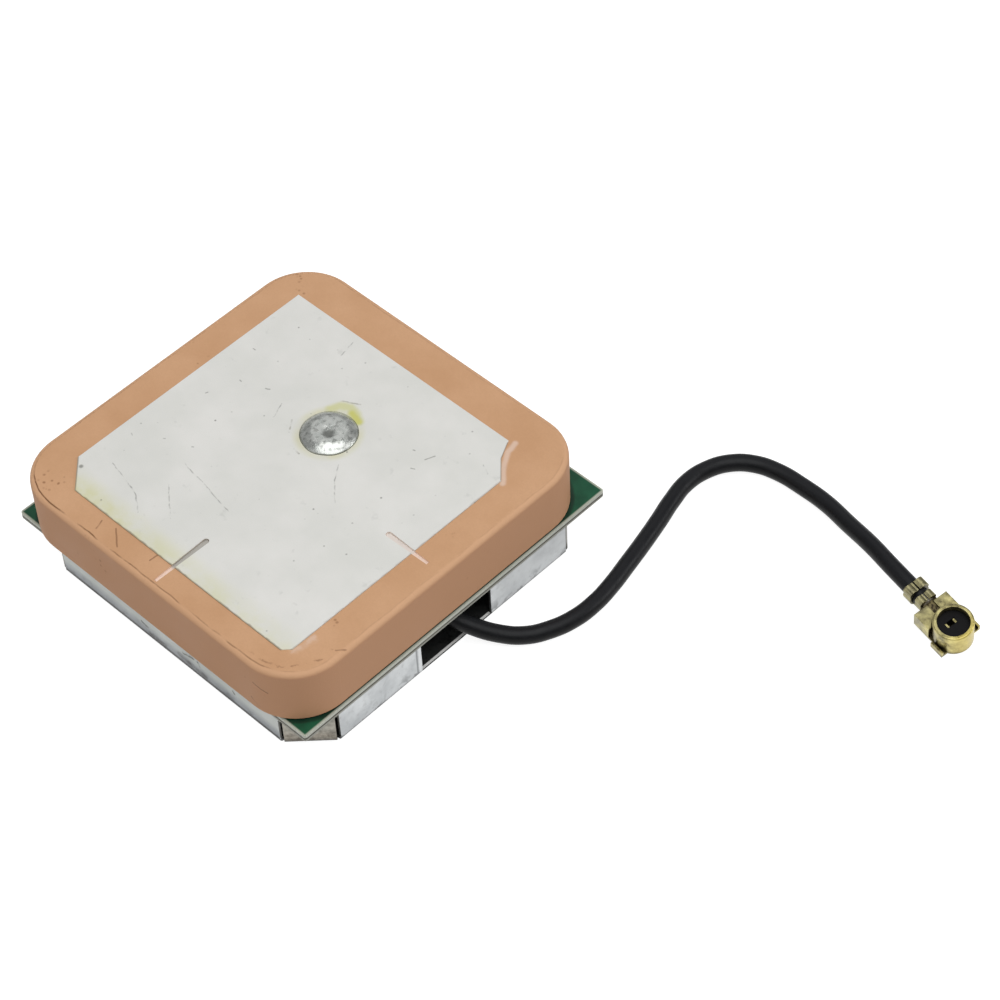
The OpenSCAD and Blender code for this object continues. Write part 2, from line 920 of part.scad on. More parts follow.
// Mating ring, with a window at its back for the insulator's neck
module plug_ring() {
    color([0.78, 0.69, 0.4])
        at_plug()
            difference() {
                translate([0, 0, plug_sheet])
                    rotate_extrude()
                        intersection() {
                            round_top_section(2 * ring_r, plug_height - plug_sheet, ring_edge_r);
                            square([ring_r, plug_height]);
                        }
                translate([0, 0, flange_low])
                    cylinder(h = plug_height, r = plug_bore_d / 2);
                translate([0, 0, flange_low])
                    cylinder(h = flange_thickness, r = flange_r);
                cylinder(h = plug_height, r = insulator_r);
                plug_box(-2 * ring_r, 0, neck_half, 0, neck_top);
            }
}

// Solids of the contact: a strip under the wire and two upright blades
module contact_solids() {
    strip_low = contact_top - contact_sheet;
    plug_box(contact_back, contact_front, contact_half, strip_low, contact_top);
    for (side = [-1, 1])
        translate([0, side * (contact_half - blade_sheet / 2), 0])
            plug_box(blade_back, blade_front, blade_sheet / 2, strip_low, insulator_top - blade_sink);
}

module plug_insulator() {
    color([0.09, 0.08, 0.1])
        at_plug()
            difference() {
                union() {
                    translate([0, 0, plug_sheet])
                        cylinder(h = insulator_top - plug_sheet, r = insulator_r - insulator_clearance);
                    translate([0, 0, flange_low])
                        cylinder(h = insulator_top - flange_low, r = flange_r - insulator_clearance);
                    plug_box(
                        neck_back,
                        0,
                        neck_half - insulator_clearance,
                        plug_sheet,
                        neck_top - insulator_clearance
                    );
                }
                contact_solids();
                plug_box(blade_back, blade_front, contact_half, contact_top, plug_height);
                translate([0, 0, plug_axis_z])
                    rod_x(neck_back - over, wire_end, conductor_d / 2);
            }
}

module plug_contact() {
    color([0.85, 0.72, 0.4])
        at_plug()
            contact_solids();
}

module plug_braid() {
    color([0.72, 0.72, 0.7])
        at_plug()
            translate([0, 0, plug_axis_z])
                tube_x(jacket_end_x, front_band_x + braid_crimp_length, braid_d / 2, dielectric_d / 2);
}

// Dielectric and conductor between the braid and the contact
module plug_wire() {
    color([0.94, 0.94, 0.92])
        at_plug()
            translate([0, 0, plug_axis_z]) {
                rod_x(jacket_end_x, neck_back, dielectric_d / 2);
                rod_x(jacket_end_x, wire_end, conductor_d / 2);
            }
}

// The pieces

capacitor_tint = [0.6, 0.47, 0.35];
inductor_tint = [0.9, 0.9, 0.92];
resistor_tint = [0.1, 0.1, 0.11];

ceramic_block();
patch_electrode();
ground_electrode();
adhesive_sheet();
feed_pin();
feed_solder_cap();
feed_solder_joint();
circuit_board();
ground_rim();
board_pads();
shield_can();
can_solder();
amplifier_chip();
amplifier_leads();
filter_body();
filter_lid_plate();
for (i = [1 : len(capacitor_places)]) {
    name = str("capacitor_", i);
    place = capacitor_places[i - 1];
    chip_body(place, chip_height, capacitor_tint);
    chip_ends(place, chip_height);
}
for (i = [1 : len(inductor_places)]) {
    name = str("inductor_", i);
    place = inductor_places[i - 1];
    chip_body(place, chip_height, inductor_tint);
    chip_ends(place, chip_height);
}
for (i = [1 : len(resistor_places)]) {
    name = str("resistor_", i);
    place = resistor_places[i - 1];
    chip_body(place, resistor_height, resistor_tint);
    chip_ends(place, resistor_height);
}
cable_jacket();
cable_braid();
cable_dielectric();
cable_conductor();
cable_solder();
plug_shell();
plug_ring();
plug_insulator();
plug_contact();
plug_braid();
plug_wire();
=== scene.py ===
"""GPS antenna module: a ceramic patch on a board over a shield can, with a coaxial lead and its plug."""

import math

import bmesh
import bpy
from mathutils import Matrix, Vector, noise


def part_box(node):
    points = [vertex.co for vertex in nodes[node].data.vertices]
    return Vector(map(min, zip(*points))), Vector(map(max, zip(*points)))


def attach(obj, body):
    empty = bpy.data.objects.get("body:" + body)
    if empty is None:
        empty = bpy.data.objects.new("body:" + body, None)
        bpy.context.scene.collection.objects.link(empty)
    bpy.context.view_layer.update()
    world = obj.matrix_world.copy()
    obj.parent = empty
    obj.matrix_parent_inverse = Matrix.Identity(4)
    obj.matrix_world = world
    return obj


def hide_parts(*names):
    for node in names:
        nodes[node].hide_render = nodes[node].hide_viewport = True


MM = 0.001

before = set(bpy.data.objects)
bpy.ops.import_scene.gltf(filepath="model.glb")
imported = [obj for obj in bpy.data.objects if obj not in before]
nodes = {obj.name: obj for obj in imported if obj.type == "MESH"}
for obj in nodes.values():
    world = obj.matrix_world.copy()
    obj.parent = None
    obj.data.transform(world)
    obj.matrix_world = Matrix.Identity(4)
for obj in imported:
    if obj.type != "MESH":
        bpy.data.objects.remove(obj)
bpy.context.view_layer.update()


# Camera, at the photograph's viewing angle

CAMERA_AZIMUTH = 46.400
CAMERA_ELEVATION = 49.287
CAMERA_ROLL = -3.180
CAMERA_DISTANCE = 195.144 * MM
CAMERA_TARGET = Vector((5.392, 10.693, -1.128)) * MM
CAMERA_LENS = 111.70
CAMERA_SENSOR = 36.0
CAMERA_NEAREST = 0.01
CAMERA_FARTHEST = 10.0


def make_camera():
    azimuth = math.radians(CAMERA_AZIMUTH)
    elevation = math.radians(CAMERA_ELEVATION)
    roll = math.radians(CAMERA_ROLL)
    back = Vector((
        math.sin(azimuth) * math.cos(elevation),
        -math.cos(azimuth) * math.cos(elevation),
        math.sin(elevation),
    ))
    level = (-back).cross(Vector((0, 0, 1))).normalized()
    upright = level.cross(-back)
    right = math.cos(roll) * level + math.sin(roll) * upright
    up = -math.sin(roll) * level + math.cos(roll) * upright
    turn = Matrix((right, up, back)).transposed().to_4x4()
    data = bpy.data.cameras.new("camera")
    data.lens = CAMERA_LENS
    data.sensor_width = CAMERA_SENSOR
    data.clip_start = CAMERA_NEAREST
    data.clip_end = CAMERA_FARTHEST
    camera = bpy.data.objects.new("camera", data)
    camera.matrix_world = Matrix.Translation(CAMERA_TARGET + back * CAMERA_DISTANCE) @ turn
    bpy.context.scene.collection.objects.link(camera)
    bpy.context.scene.camera = camera


make_camera()


# Places that the looks are tied to, from the frame

ceramic_low, ceramic_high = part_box("ceramic_block")
patch_low, patch_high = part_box("patch_electrode")
cap_low, cap_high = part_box("feed_solder_cap")
board_low, board_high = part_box("circuit_board")
can_low, can_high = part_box("shield_can")
ring_low, ring_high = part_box("plug_ring")

CERAMIC_MIDDLE = (ceramic_low + ceramic_high) / 2
CERAMIC_HALF = (ceramic_high.x - ceramic_low.x) / 2
CERAMIC_CORNER = 3.6 * MM
CERAMIC_TOP = ceramic_high.z
PATCH_TOP = patch_high.z
CAP_MIDDLE = (cap_low + cap_high) / 2
CAP_RADIUS = (cap_high.x - cap_low.x) / 2
CAP_HEIGHT = cap_high.z - cap_low.z
BOARD_MIDDLE = (board_low + board_high) / 2
BOARD_CORNER = 0.15 * MM
PLUG_MIDDLE = (ring_low + ring_high) / 2


def on_patch(x, y):
    """Point on the silver patch, from millimetres."""
    return Vector((x * MM, y * MM, PATCH_TOP))


def on_ceramic(x, y):
    """Point on the block's top, from millimetres."""
    return Vector((x * MM, y * MM, CERAMIC_TOP))


def on_front_wall(x, z):
    """Point on the can's front wall, from millimetres."""
    return Vector((x * MM, can_low.y, z * MM))


# Material helpers

# Levels between which a noise varies most
NOISE_RANGE = (0.3, 0.7)
# Stretch with which a distance is measured in plan
IN_PLAN = (1, 1, 0)


def linear(red, green, blue):
    """Colour written as 0 to 255 on screen, as the linear colour that a shader takes."""
    def channel(value):
        share = value / 255
        return share / 12.92 if share <= 0.04045 else ((share + 0.055) / 1.055) ** 2.4
    return channel(red), channel(green), channel(blue), 1.0


def shade(colour, factor):
    """The same linear colour, darker or lighter."""
    return tuple(min(1.0, factor * part) for part in colour[:3]) + (1.0,)


class Shader:
    """A material under construction, with short calls for the nodes that this scene uses."""

    def __init__(self, name, colour, roughness, metallic=0.0):
        self.material = bpy.data.materials.new(name)
        self.material.use_nodes = True
        self.tree = self.material.node_tree
        self.surface = self.tree.nodes["Principled BSDF"]
        self.surface.inputs["Base Color"].default_value = colour
        self.surface.inputs["Roughness"].default_value = roughness
        self.surface.inputs["Metallic"].default_value = metallic
        self.coordinates = self.tree.nodes.new("ShaderNodeTexCoord")
        self.place = self.coordinates.outputs["Object"]
        self.tone = colour

    def feed(self, socket, value):
        if isinstance(value, bpy.types.NodeSocket):
            self.tree.links.new(value, socket)
        else:
            socket.default_value = value

    def set(self, **inputs):
        """Sets or links the surface's own inputs, written with _ for a space."""
        for name, value in inputs.items():
            self.feed(self.surface.inputs[name.replace("_", " ")], value)
        return self

    def math(self, operation, first, second=0.0):
        node = self.tree.nodes.new("ShaderNodeMath")
        node.operation = operation
        self.feed(node.inputs[0], first)
        self.feed(node.inputs[1], second)
        return node.outputs["Value"]

    def product(self, *values):
        result = values[0]
        for value in values[1:]:
            result = self.math("MULTIPLY", result, value)
        return result

    def most(self, *values):
        result = values[0]
        for value in values[1:]:
            result = self.math("MAXIMUM", result, value)
        return result

    def vector(self, operation, first, second=None, scale=None):
        node = self.tree.nodes.new("ShaderNodeVectorMath")
        node.operation = operation
        self.feed(node.inputs[0], first)
        if second is not None:
            self.feed(node.inputs[1], second)
        if scale is not None:
            self.feed(node.inputs["Scale"], scale)
        return node.outputs

    def stretched(self, x, y, z):
        """Place scaled along each axis, for grain that runs one way."""
        node = self.tree.nodes.new("ShaderNodeMapping")
        self.feed(node.inputs["Vector"], self.place)
        node.inputs["Scale"].default_value = (x, y, z)
        return node.outputs["Vector"]

    def noise_node(self, size, detail, rough, place):
        node = self.tree.nodes.new("ShaderNodeTexNoise")
        self.feed(node.inputs["Vector"], place or self.place)
        node.inputs["Scale"].default_value = 1.0 / size
        node.inputs["Detail"].default_value = detail
        node.inputs["Roughness"].default_value = rough
        return node

    def noise(self, size, detail=3.0, rough=0.55, place=None):
        """Noise whose blotches are about that many metres across."""
        return self.noise_node(size, detail, rough, place).outputs["Fac"]

    def shaken(self, amount, size):
        """Place moved by noise, for marks that are not quite straight."""
        colour = self.noise_node(size, detail=2.0, rough=0.5, place=None).outputs["Color"]
        centred = self.vector("SUBTRACT", colour, (0.5, 0.5, 0.5))["Vector"]
        moved = self.vector("SCALE", centred, scale=2 * amount)["Vector"]
        return self.vector("ADD", self.place, moved)["Vector"]

    def cells(self, size, place=None):
        """Distance to the nearest point of a scatter, in units of its spacing."""
        node = self.tree.nodes.new("ShaderNodeTexVoronoi")
        self.feed(node.inputs["Vector"], place or self.place)
        node.inputs["Scale"].default_value = 1.0 / size
        return node.outputs["Distance"]

    def remap(self, value, low, high, out_low=0.0, out_high=1.0, smooth=False):
        node = self.tree.nodes.new("ShaderNodeMapRange")
        if smooth:
            node.interpolation_type = "SMOOTHSTEP"
        self.feed(node.inputs["Value"], value)
        for name, number in zip(("From Min", "From Max", "To Min", "To Max"), (low, high, out_low, out_high)):
            node.inputs[name].default_value = number
        return node.outputs["Result"]

    def rise(self, value, low, high, share=1.0):
        """0 below low, rising to a share above high."""
        return self.remap(value, low, high, 0.0, share)

    def fall(self, value, low, high, share=1.0, smooth=False):
        """A share below low, falling to 0 above high."""
        return self.remap(value, low, high, share, 0.0, smooth)

    def band(self, value, middle, full, none, share=1.0):
        """A share within full of the middle, falling to 0 at none."""
        gap = self.math("ABSOLUTE", self.math("SUBTRACT", value, middle))
        return self.fall(gap, full, none, share)

    def spread(self, value, low=0.0, high=1.0):
        """A noise, spread from low to high."""
        return self.remap(value, *NOISE_RANGE, low, high)

    def mix(self, share, first, second):
        node = self.tree.nodes.new("ShaderNodeMix")
        node.data_type = "RGBA"
        colours = [socket for socket in node.inputs if socket.type == "RGBA"]
        self.feed(node.inputs["Factor"], share)
        self.feed(colours[0], first)
        self.feed(colours[1], second)
        return [socket for socket in node.outputs if socket.type == "RGBA"][0]

    def paint(self, colour, *shares):
        """Lays a colour over the tone so far, as strongly as the product of the shares."""
        self.tone = self.mix(self.product(*shares), self.tone, colour)

    def near(self, point, full, none, stretch=(1, 1, 1), place=None):
        """1 within full metres of a point, falling to 0 at none metres."""
        offset = self.vector("SUBTRACT", place or self.place, point)["Vector"]
        scaled = self.vector("MULTIPLY", offset, stretch)["Vector"]
        length = self.vector("LENGTH", scaled)["Value"]
        return self.fall(length, full, none, smooth=True)

    def line(self, start, end, full, none, place=None):
        """1 within full metres of a straight mark, falling to 0 at none metres."""
        run = end - start
        offset = self.vector("SUBTRACT", place or self.place, start)["Vector"]
        along = self.vector("DOT_PRODUCT", offset, run / run.length_squared)["Value"]
        nearest = self.vector("SCALE", run, scale=self.remap(along, 0, 1))["Vector"]
        gap = self.vector("DISTANCE", offset, nearest)["Value"]
        return self.fall(gap, full, none, smooth=True)

    def lines(self, marks, full, none, place=None):
        """The strongest of several straight marks."""
        return self.most(*(self.line(start, end, full, none, place) for start, end in marks))

    def part_of(self, vector, name):
        node = self.tree.nodes.new("ShaderNodeSeparateXYZ")
        self.feed(node.inputs["Vector"], vector)
        return node.outputs[name]

    def axis(self, name, place=None):
        """One coordinate of the place, in metres."""
        return self.part_of(place or self.place, name)

    def facing(self, name):
        """One coordinate of the surface's own direction."""
        return self.part_of(self.coordinates.outputs["Normal"], name)

    def inset(self, middle, half, corner, place=None):
        """Distance inwards from the outline of an upright square block with round corners."""
        reach = []
        for name, centre in (("X", middle.x), ("Y", middle.y)):
            offset = self.math("SUBTRACT", self.axis(name, place), centre)
            reach.append(self.math("SUBTRACT", self.math("ABSOLUTE", offset), half - corner))
        past = [self.math("POWER", self.most(value, 0.0), 2.0) for value in reach]
        outside = self.math("SQRT", self.math("ADD", *past))
        inside = self.math("MINIMUM", self.most(*reach), 0.0)
        return self.math("SUBTRACT", corner, self.math("ADD", outside, inside))

    def shelter(self, reach):
        """1 in the open, lower in hollows narrower than the reach."""
        node = self.tree.nodes.new("ShaderNodeAmbientOcclusion")
        node.samples = 8
        node.inputs["Distance"].default_value = reach
        return node.outputs["AO"]

    def bump(self, height, depth, strength, soft_edge=0.0):
        """Bump of that many metres, over edges softened by a small radius."""
        node = self.tree.nodes.new("ShaderNodeBump")
        node.inputs["Strength"].default_value = strength
        node.inputs["Distance"].default_value = depth
        self.feed(node.inputs["Height"], height)
        if soft_edge:
            bevel = self.tree.nodes.new("ShaderNodeBevel")
            bevel.samples = 6
            bevel.inputs["Radius"].default_value = soft_edge
            self.feed(node.inputs["Normal"], bevel.outputs["Normal"])
        self.feed(self.surface.inputs["Normal"], node.outputs["Normal"])
        return self


def dress(shader, *names):
    """Gives one material to CAD nodes."""
    for name in names:
        slots = nodes[name].data.materials
        slots.clear()
        slots.append(shader.material)


# Ceramic block

CERAMIC_TAN = linear(201, 157, 119)
CERAMIC_DEEP = linear(197, 152, 114)
CERAMIC_LIGHT = linear(206, 162, 125)
CERAMIC_GRAIN = linear(180, 138, 104)
CERAMIC_SIDE_SHADE = linear(196, 146, 113)
CERAMIC_LIP_HIGHLIGHT = linear(210, 166, 130)
CREASE_BROWN = linear(112, 74, 46)
PITTED_BROWN = linear(134, 94, 64)
HAIR_BROWN = linear(116, 80, 54)
SPECK_BROWN = linear(134, 92, 60)
GROUND_PINK = linear(222, 197, 180)
SLOT_GREY = linear(178, 175, 168)
SLOT_LIT_PALE = linear(226, 217, 210)
SLOT_PINK = linear(234, 210, 195)

LIP_WIDTH = 0.38 * MM
CREASE_DEPTH = 0.32 * MM
PITTED_DEPTH = 2.2 * CREASE_DEPTH
CREASE_FRONT = (-12.2 * MM, -10.5 * MM)
CREASE_LEFT = (-3.0 * MM, 2.0 * MM)
SLOT_MARGIN = (0.4 * MM, 0.45 * MM)
SLOT_DEPTH = (0.03 * MM, 0.005 * MM)
RIGHT_SLOT = (6.0 * MM, 7.0 * MM)
PATCH_BLUR = 0.1 * MM
LEFT_CORNER = on_ceramic(-9.9, -11.6)
NEAR_CORNER = on_ceramic(11.2, -11.6)
SIDE_CHIPS = [
    (Vector((9.1, -13.1, 6.3)) * MM, Vector((10.1, -12.9, 6.0)) * MM),
    (Vector((8.8, -13.1, 4.7)) * MM, Vector((9.5, -13.0, 4.2)) * MM),
]
TOP_HAIRS = [
    (on_ceramic(-5.1, -12.3), on_ceramic(-5.3, -11.7)),
    (on_ceramic(-4.2, -11.5), on_ceramic(-3.1, -12.4)),
    (on_ceramic(-0.9, -11.8), on_ceramic(-0.8, -11.0)),
    (on_ceramic(12.0, -9.1), on_ceramic(12.4, -8.6)),
]
GROUND_EDGES = [
    (on_ceramic(8.6, 9.15), on_ceramic(8.74, 8.35)),
    (on_ceramic(8.74, 8.35), on_ceramic(9.46, 7.3)),
    (on_ceramic(9.46, 7.3), on_ceramic(10.3, 6.35)),
]
TIP_SMEAR = (on_ceramic(10.2, -10.8), on_ceramic(10.4, -9.3))


def block_inset(shader, place=None):
    """Distance inwards from the ceramic block's outline."""
    return shader.inset(CERAMIC_MIDDLE, CERAMIC_HALF, CERAMIC_CORNER, place)


def crease_mask(shader, depth):
    """Broken crease inside the block's top edge, clearest along the front and to the left."""
    return shader.product(
        shader.band(depth, CREASE_DEPTH, full=0.01 * MM, none=0.07 * MM),
        shader.remap(shader.axis("Y"), *CREASE_FRONT, 1.0, 0.25),
        shader.remap(shader.axis("X"), *CREASE_LEFT, 1.0, 0.6),
        shader.remap(shader.noise(1.8 * MM), 0.4, 0.55, 0.05, 1.0),
    )


def pitted_mask(shader):
    """Small pits further in than the crease, at the near corner."""
    depth = block_inset(shader, shader.shaken(amount=0.2 * MM, size=0.5 * MM))
    return shader.product(
        shader.band(depth, PITTED_DEPTH, full=0.02 * MM, none=0.12 * MM),
        shader.near(NEAR_CORNER, full=2.0 * MM, none=3.4 * MM),
        shader.rise(shader.noise(0.4 * MM, detail=2.0), 0.48, 0.6),
    )


def dark_specks_mask(shader, shaken):
    """Dark specks, crowded at the left corner and in a few places elsewhere."""
    speck = shader.fall(shader.cells(0.36 * MM, shaken), 0.16, 0.34)
    crowd = shader.most(
        shader.near(LEFT_CORNER, full=0.55 * MM, none=1.0 * MM),
        shader.rise(shader.noise(2.8 * MM, detail=1.0), 0.68, 0.74, share=0.8),
    )
    return shader.product(speck, crowd)


def ground_mask(shader, shaken):
    """Pale ceramic beside the patch's ground corner, and a smear at its near tip."""
    edges = shader.lines(GROUND_EDGES, full=0.06 * MM, none=0.28 * MM, place=shaken)
    wide = shader.shaken(amount=0.3 * MM, size=0.6 * MM)
    smear = shader.line(*TIP_SMEAR, full=0.05 * MM, none=0.34 * MM, place=wide)
    patchy = shader.remap(shader.noise(0.5 * MM, detail=2.0), 0.4, 0.6, 0.3, 0.7)
    return shader.most(edges, shader.product(smear, patchy))


def slot_mask(shader):
    """The ground slots, below the block's top and inside its outline."""
    deep, shallow = SLOT_DEPTH
    below = shader.fall(shader.axis("Z"), CERAMIC_TOP - deep, CERAMIC_TOP - shallow)
    return shader.product(below, shader.rise(block_inset(shader), *SLOT_MARGIN))


def slot_tone(shader):
    """Grey where a slot cuts the patch, pale in the right one, and pink beyond the patch. The grey and the
    pale are painted light, lifted against the slots' own shade, the right slot most.
    """
    within_patch = shader.product(
        shader.rise(shader.axis("Y"), patch_low.y - PATCH_BLUR, patch_low.y + PATCH_BLUR),
        shader.fall(shader.axis("X"), patch_high.x - PATCH_BLUR, patch_high.x + PATCH_BLUR),
    )
    # Painted light: the right slot's floor is painted paler than the front slot's
    grey = shader.mix(shader.rise(shader.axis("X"), *RIGHT_SLOT), SLOT_GREY, SLOT_LIT_PALE)
    return shader.mix(within_patch, SLOT_PINK, grey)


def ceramic_material():
    shader = Shader("ceramic", CERAMIC_TAN, roughness=0.68)
    shader.set(Specular_IOR_Level=0.25)
    mottle = shader.noise(3.5 * MM, detail=4.0)
    grain = shader.noise(0.12 * MM, detail=2.0)
    shader.tone = shader.mix(shader.rise(mottle, 0.35, 0.68), CERAMIC_DEEP, CERAMIC_LIGHT)
    shader.paint(CERAMIC_GRAIN, shader.rise(grain, 0.35, 0.8, share=0.22))
    # Painted shade: the upright sides get a darker, pinker copy of the ceramic colour
    level = shader.math("ABSOLUTE", shader.facing("Z"))
    shader.paint(CERAMIC_SIDE_SHADE, shader.fall(level, 0.2, 0.6, share=0.6))

    shaken = shader.shaken(amount=0.12 * MM, size=1.6 * MM)
    depth = block_inset(shader, shaken)
    upward = shader.rise(shader.facing("Z"), 0.25, 0.6)
    # Painted highlight: the upward-facing rounded lip along the top edge is painted lighter
    lip = shader.fall(depth, 0.6 * LIP_WIDTH, 1.1 * LIP_WIDTH, share=0.5)
    crease = crease_mask(shader, depth)
    hairs = shader.lines(TOP_HAIRS + SIDE_CHIPS, full=0.015 * MM, none=0.08 * MM, place=shaken)
    shader.paint(CERAMIC_LIP_HIGHLIGHT, lip, upward)
    shader.paint(CREASE_BROWN, crease)
    shader.paint(PITTED_BROWN, pitted_mask(shader), 0.6)
    shader.paint(HAIR_BROWN, hairs, 0.6)
    shader.paint(SPECK_BROWN, dark_specks_mask(shader, shaken), 0.7)
    shader.paint(GROUND_PINK, ground_mask(shader, shaken), upward, 0.7)
    shader.paint(slot_tone(shader), slot_mask(shader))

    shader.set(Base_Color=shader.tone, Roughness=shader.spread(mottle, 0.54, 0.7))
    height = shader.math("SUBTRACT", shader.product(grain, 0.3), shader.most(crease, hairs))
    return shader.bump(height, depth=0.03 * MM, strength=0.6)


# Silver patch

SILVER = linear(226, 225, 221)
SILVER_DEEP = linear(223, 223, 218)
SILVER_LIGHT = linear(231, 230, 226)
SILVER_GRAIN = linear(186, 186, 182)
STAIN_YELLOW = linear(212, 211, 168)
HALO_CREAM = linear(216, 214, 186)
FLUX_PALE_YELLOW = linear(208, 208, 150)
FLUX_BRIGHT_YELLOW = linear(204, 203, 112)
RIM_BROWN = linear(120, 96, 66)
SCRATCH_GREY = linear(128, 128, 124)
ARC_GREY = linear(134, 130, 112)
SCUFF_GREY = linear(182, 183, 178)
SPECK_GREY = linear(104, 104, 98)

STAIN_REACH = 1.9 * MM
STAIN_SIDES = (-6.0 * MM, 4.0 * MM)
HALO_WIDTH = 0.55 * MM
SCRATCHES = [
    (on_patch(-3.6, 0.6), on_patch(-4.15, 1.9)),
    (on_patch(-5.0, -5.35), on_patch(-3.3, -5.6)),
    (on_patch(-3.3, -5.6), on_patch(-1.1, -6.0)),
    (on_patch(-1.1, -6.0), on_patch(0.2, -6.2)),
    (on_patch(2.0, 0.8), on_patch(2.7, -0.2)),
    (on_patch(2.7, -0.2), on_patch(4.0, -1.45)),
    (on_patch(-8.2, -8.25), on_patch(-5.4, -8.9)),
    (on_patch(-5.4, -8.9), on_patch(-4.1, -9.8)),
    (on_patch(-4.4, -7.15), on_patch(-2.4, -8.8)),
    (on_patch(-4.3, 7.0), on_patch(-4.6, 8.4)),
    (on_patch(8.45, 6.6), on_patch(9.1, 6.25)),
]
STROKES = [
    (on_patch(-5.8, 2.1), on_patch(-5.55, 2.25)),
    (on_patch(-7.5, 1.5), on_patch(-7.35, 1.5)),
    (on_patch(-8.25, -0.6), on_patch(-8.2, -0.5)),
    (on_patch(-8.8, 3.9), on_patch(-8.65, 3.9)),
    (on_patch(-7.4, -4.85), on_patch(-7.3, -4.8)),
    (on_patch(-5.6, -4.15), on_patch(-5.5, -4.1)),
    (on_patch(-9.15, -5.9), on_patch(-9.0, -5.95)),
    (on_patch(4.5, 4.6), on_patch(4.6, 4.65)),
    (on_patch(5.55, 4.55), on_patch(5.8, 5.15)),
    (on_patch(5.4, 3.5), on_patch(5.6, 3.6)),
]
GROUND_RIM = [
    (on_patch(8.3, 8.85), on_patch(8.87, 7.7)),
    (on_patch(8.87, 7.7), on_patch(10.05, 6.45)),
]
FLUX_ARCS = [
    (on_patch(-1.3, -0.1), on_patch(-0.4, -0.2)),
    (on_patch(-1.6, 4.5), on_patch(-0.5, 5.1)),
    (on_patch(-2.7, 1.4), on_patch(-2.1, 0.6)),
]
PATCH_CUT_LINE = (on_patch(-10.1, -9.35), on_patch(-8.25, -11.2))
FLUX_PALE = [
    (on_patch(-1.64, 3.59), on_patch(-1.38, 4.18)),
    (on_patch(-1.38, 4.18), on_patch(-0.81, 4.48)),
    (on_patch(-0.81, 4.48), on_patch(-0.18, 4.36)),
    (on_patch(-0.18, 4.36), on_patch(0.39, 4.05)),
]
FLUX_BRIGHT = [
    (on_patch(-0.4, 4.24), on_patch(0.07, 4.12)),
    (on_patch(0.07, 4.12), on_patch(0.46, 3.98)),
]
CORNER_SPECK = on_patch(-9.4, -9.7)


def paint_stains(shader, shaken):
    """Yellowed silver along the front edge and round the solder cap, and flux beside the cap."""
    patchy = shader.noise(1.6 * MM)
    front = shader.fall(shader.axis("Y"), patch_low.y, patch_low.y + STAIN_REACH, smooth=True)
    toward_left = shader.remap(shader.axis("X"), *STAIN_SIDES, 1.0, 0.6)
    shader.paint(STAIN_YELLOW, front, toward_left, shader.remap(patchy, 0.36, 0.62, 0.25, 1.0))
    halo = shader.near(CAP_MIDDLE, full=CAP_RADIUS, none=CAP_RADIUS + HALO_WIDTH, stretch=IN_PLAN)
    shader.paint(HALO_CREAM, halo, shader.remap(patchy, 0.3, 0.6, 0.3, 0.9))
    pale = shader.lines(FLUX_PALE, full=0.1 * MM, none=0.5 * MM, place=shaken)
    bright = shader.lines(FLUX_BRIGHT, full=0.05 * MM, none=0.36 * MM, place=shaken)
    shader.paint(FLUX_PALE_YELLOW, pale, 0.8)
    shader.paint(FLUX_BRIGHT_YELLOW, bright, 0.9)


def paint_patch_rim(shader, shaken):
    """Brown line along the patch's front and right edges and its cut corners."""
    rim = shader.most(
        shader.fall(shader.axis("Y", shaken), patch_low.y + 0.02 * MM, patch_low.y + 0.1 * MM),
        shader.rise(shader.axis("X", shaken), patch_high.x - 0.08 * MM, patch_high.x - 0.02 * MM, share=0.5),
        shader.line(*PATCH_CUT_LINE, full=0.03 * MM, none=0.1 * MM),
        shader.lines(GROUND_RIM, full=0.02 * MM, none=0.09 * MM),
    )
    shader.paint(RIM_BROWN, rim, 0.7)


def paint_scratches(shader, shaken):
    """Scratches over the patch and arcs of flux round the cap. Returns the scratches, for the bump."""
    ragged = shader.rise(shader.noise(0.5 * MM), 0.4, 0.6)
    scratch = shader.product(shader.lines(SCRATCHES, full=0.01 * MM, none=0.06 * MM, place=shaken), ragged)
    arcs = shader.product(shader.lines(FLUX_ARCS, full=0.015 * MM, none=0.09 * MM, place=shaken), ragged)
    shader.paint(SCRATCH_GREY, scratch, 0.6)
    shader.paint(ARC_GREY, arcs, 0.55)
    return scratch


def paint_scuffs_and_specks(shader, shaken):
    """Dull scuffs and dark specks over the patch. Returns the specks, for the bump."""
    shader.paint(SCUFF_GREY, shader.rise(shader.noise(1.0 * MM), 0.64, 0.76, share=0.35))
    scattered = shader.product(
        shader.fall(shader.cells(0.75 * MM), 0.05, 0.11),
        shader.rise(shader.noise(1.1 * MM, detail=1.0), 0.52, 0.66),
    )
    specks = shader.most(
        scattered,
        shader.near(CORNER_SPECK, full=0.06 * MM, none=0.2 * MM),
        shader.product(shader.lines(STROKES, full=0.01 * MM, none=0.07 * MM, place=shaken), 0.8),
    )
    shader.paint(SPECK_GREY, specks, 0.7)
    return specks


def silver_material():
    shader = Shader("fired_silver", SILVER, roughness=0.5, metallic=0.25)
    cloud = shader.noise(3.2 * MM)
    grain = shader.noise(0.05 * MM, detail=2.0)
    shaken = shader.shaken(amount=0.1 * MM, size=0.7 * MM)
    shader.tone = shader.mix(shader.rise(cloud, 0.35, 0.7), SILVER_DEEP, SILVER_LIGHT)
    shader.paint(SILVER_GRAIN, shader.rise(grain, 0.4, 0.85, share=0.2))
    paint_stains(shader, shaken)
    paint_patch_rim(shader, shaken)
    scratch = paint_scratches(shader, shaken)
    specks = paint_scuffs_and_specks(shader, shaken)
    shader.set(Base_Color=shader.tone, Roughness=shader.spread(cloud, 0.44, 0.58))
    height = shader.math("SUBTRACT", shader.product(grain, 0.4), shader.most(scratch, specks))
    return shader.bump(height, depth=0.012 * MM, strength=0.6)


# Solder

SOLDER_GREY = linear(196, 198, 192)
SOLDER_DARK = linear(178, 180, 172)
SOLDER_LIGHT = linear(214, 216, 211)


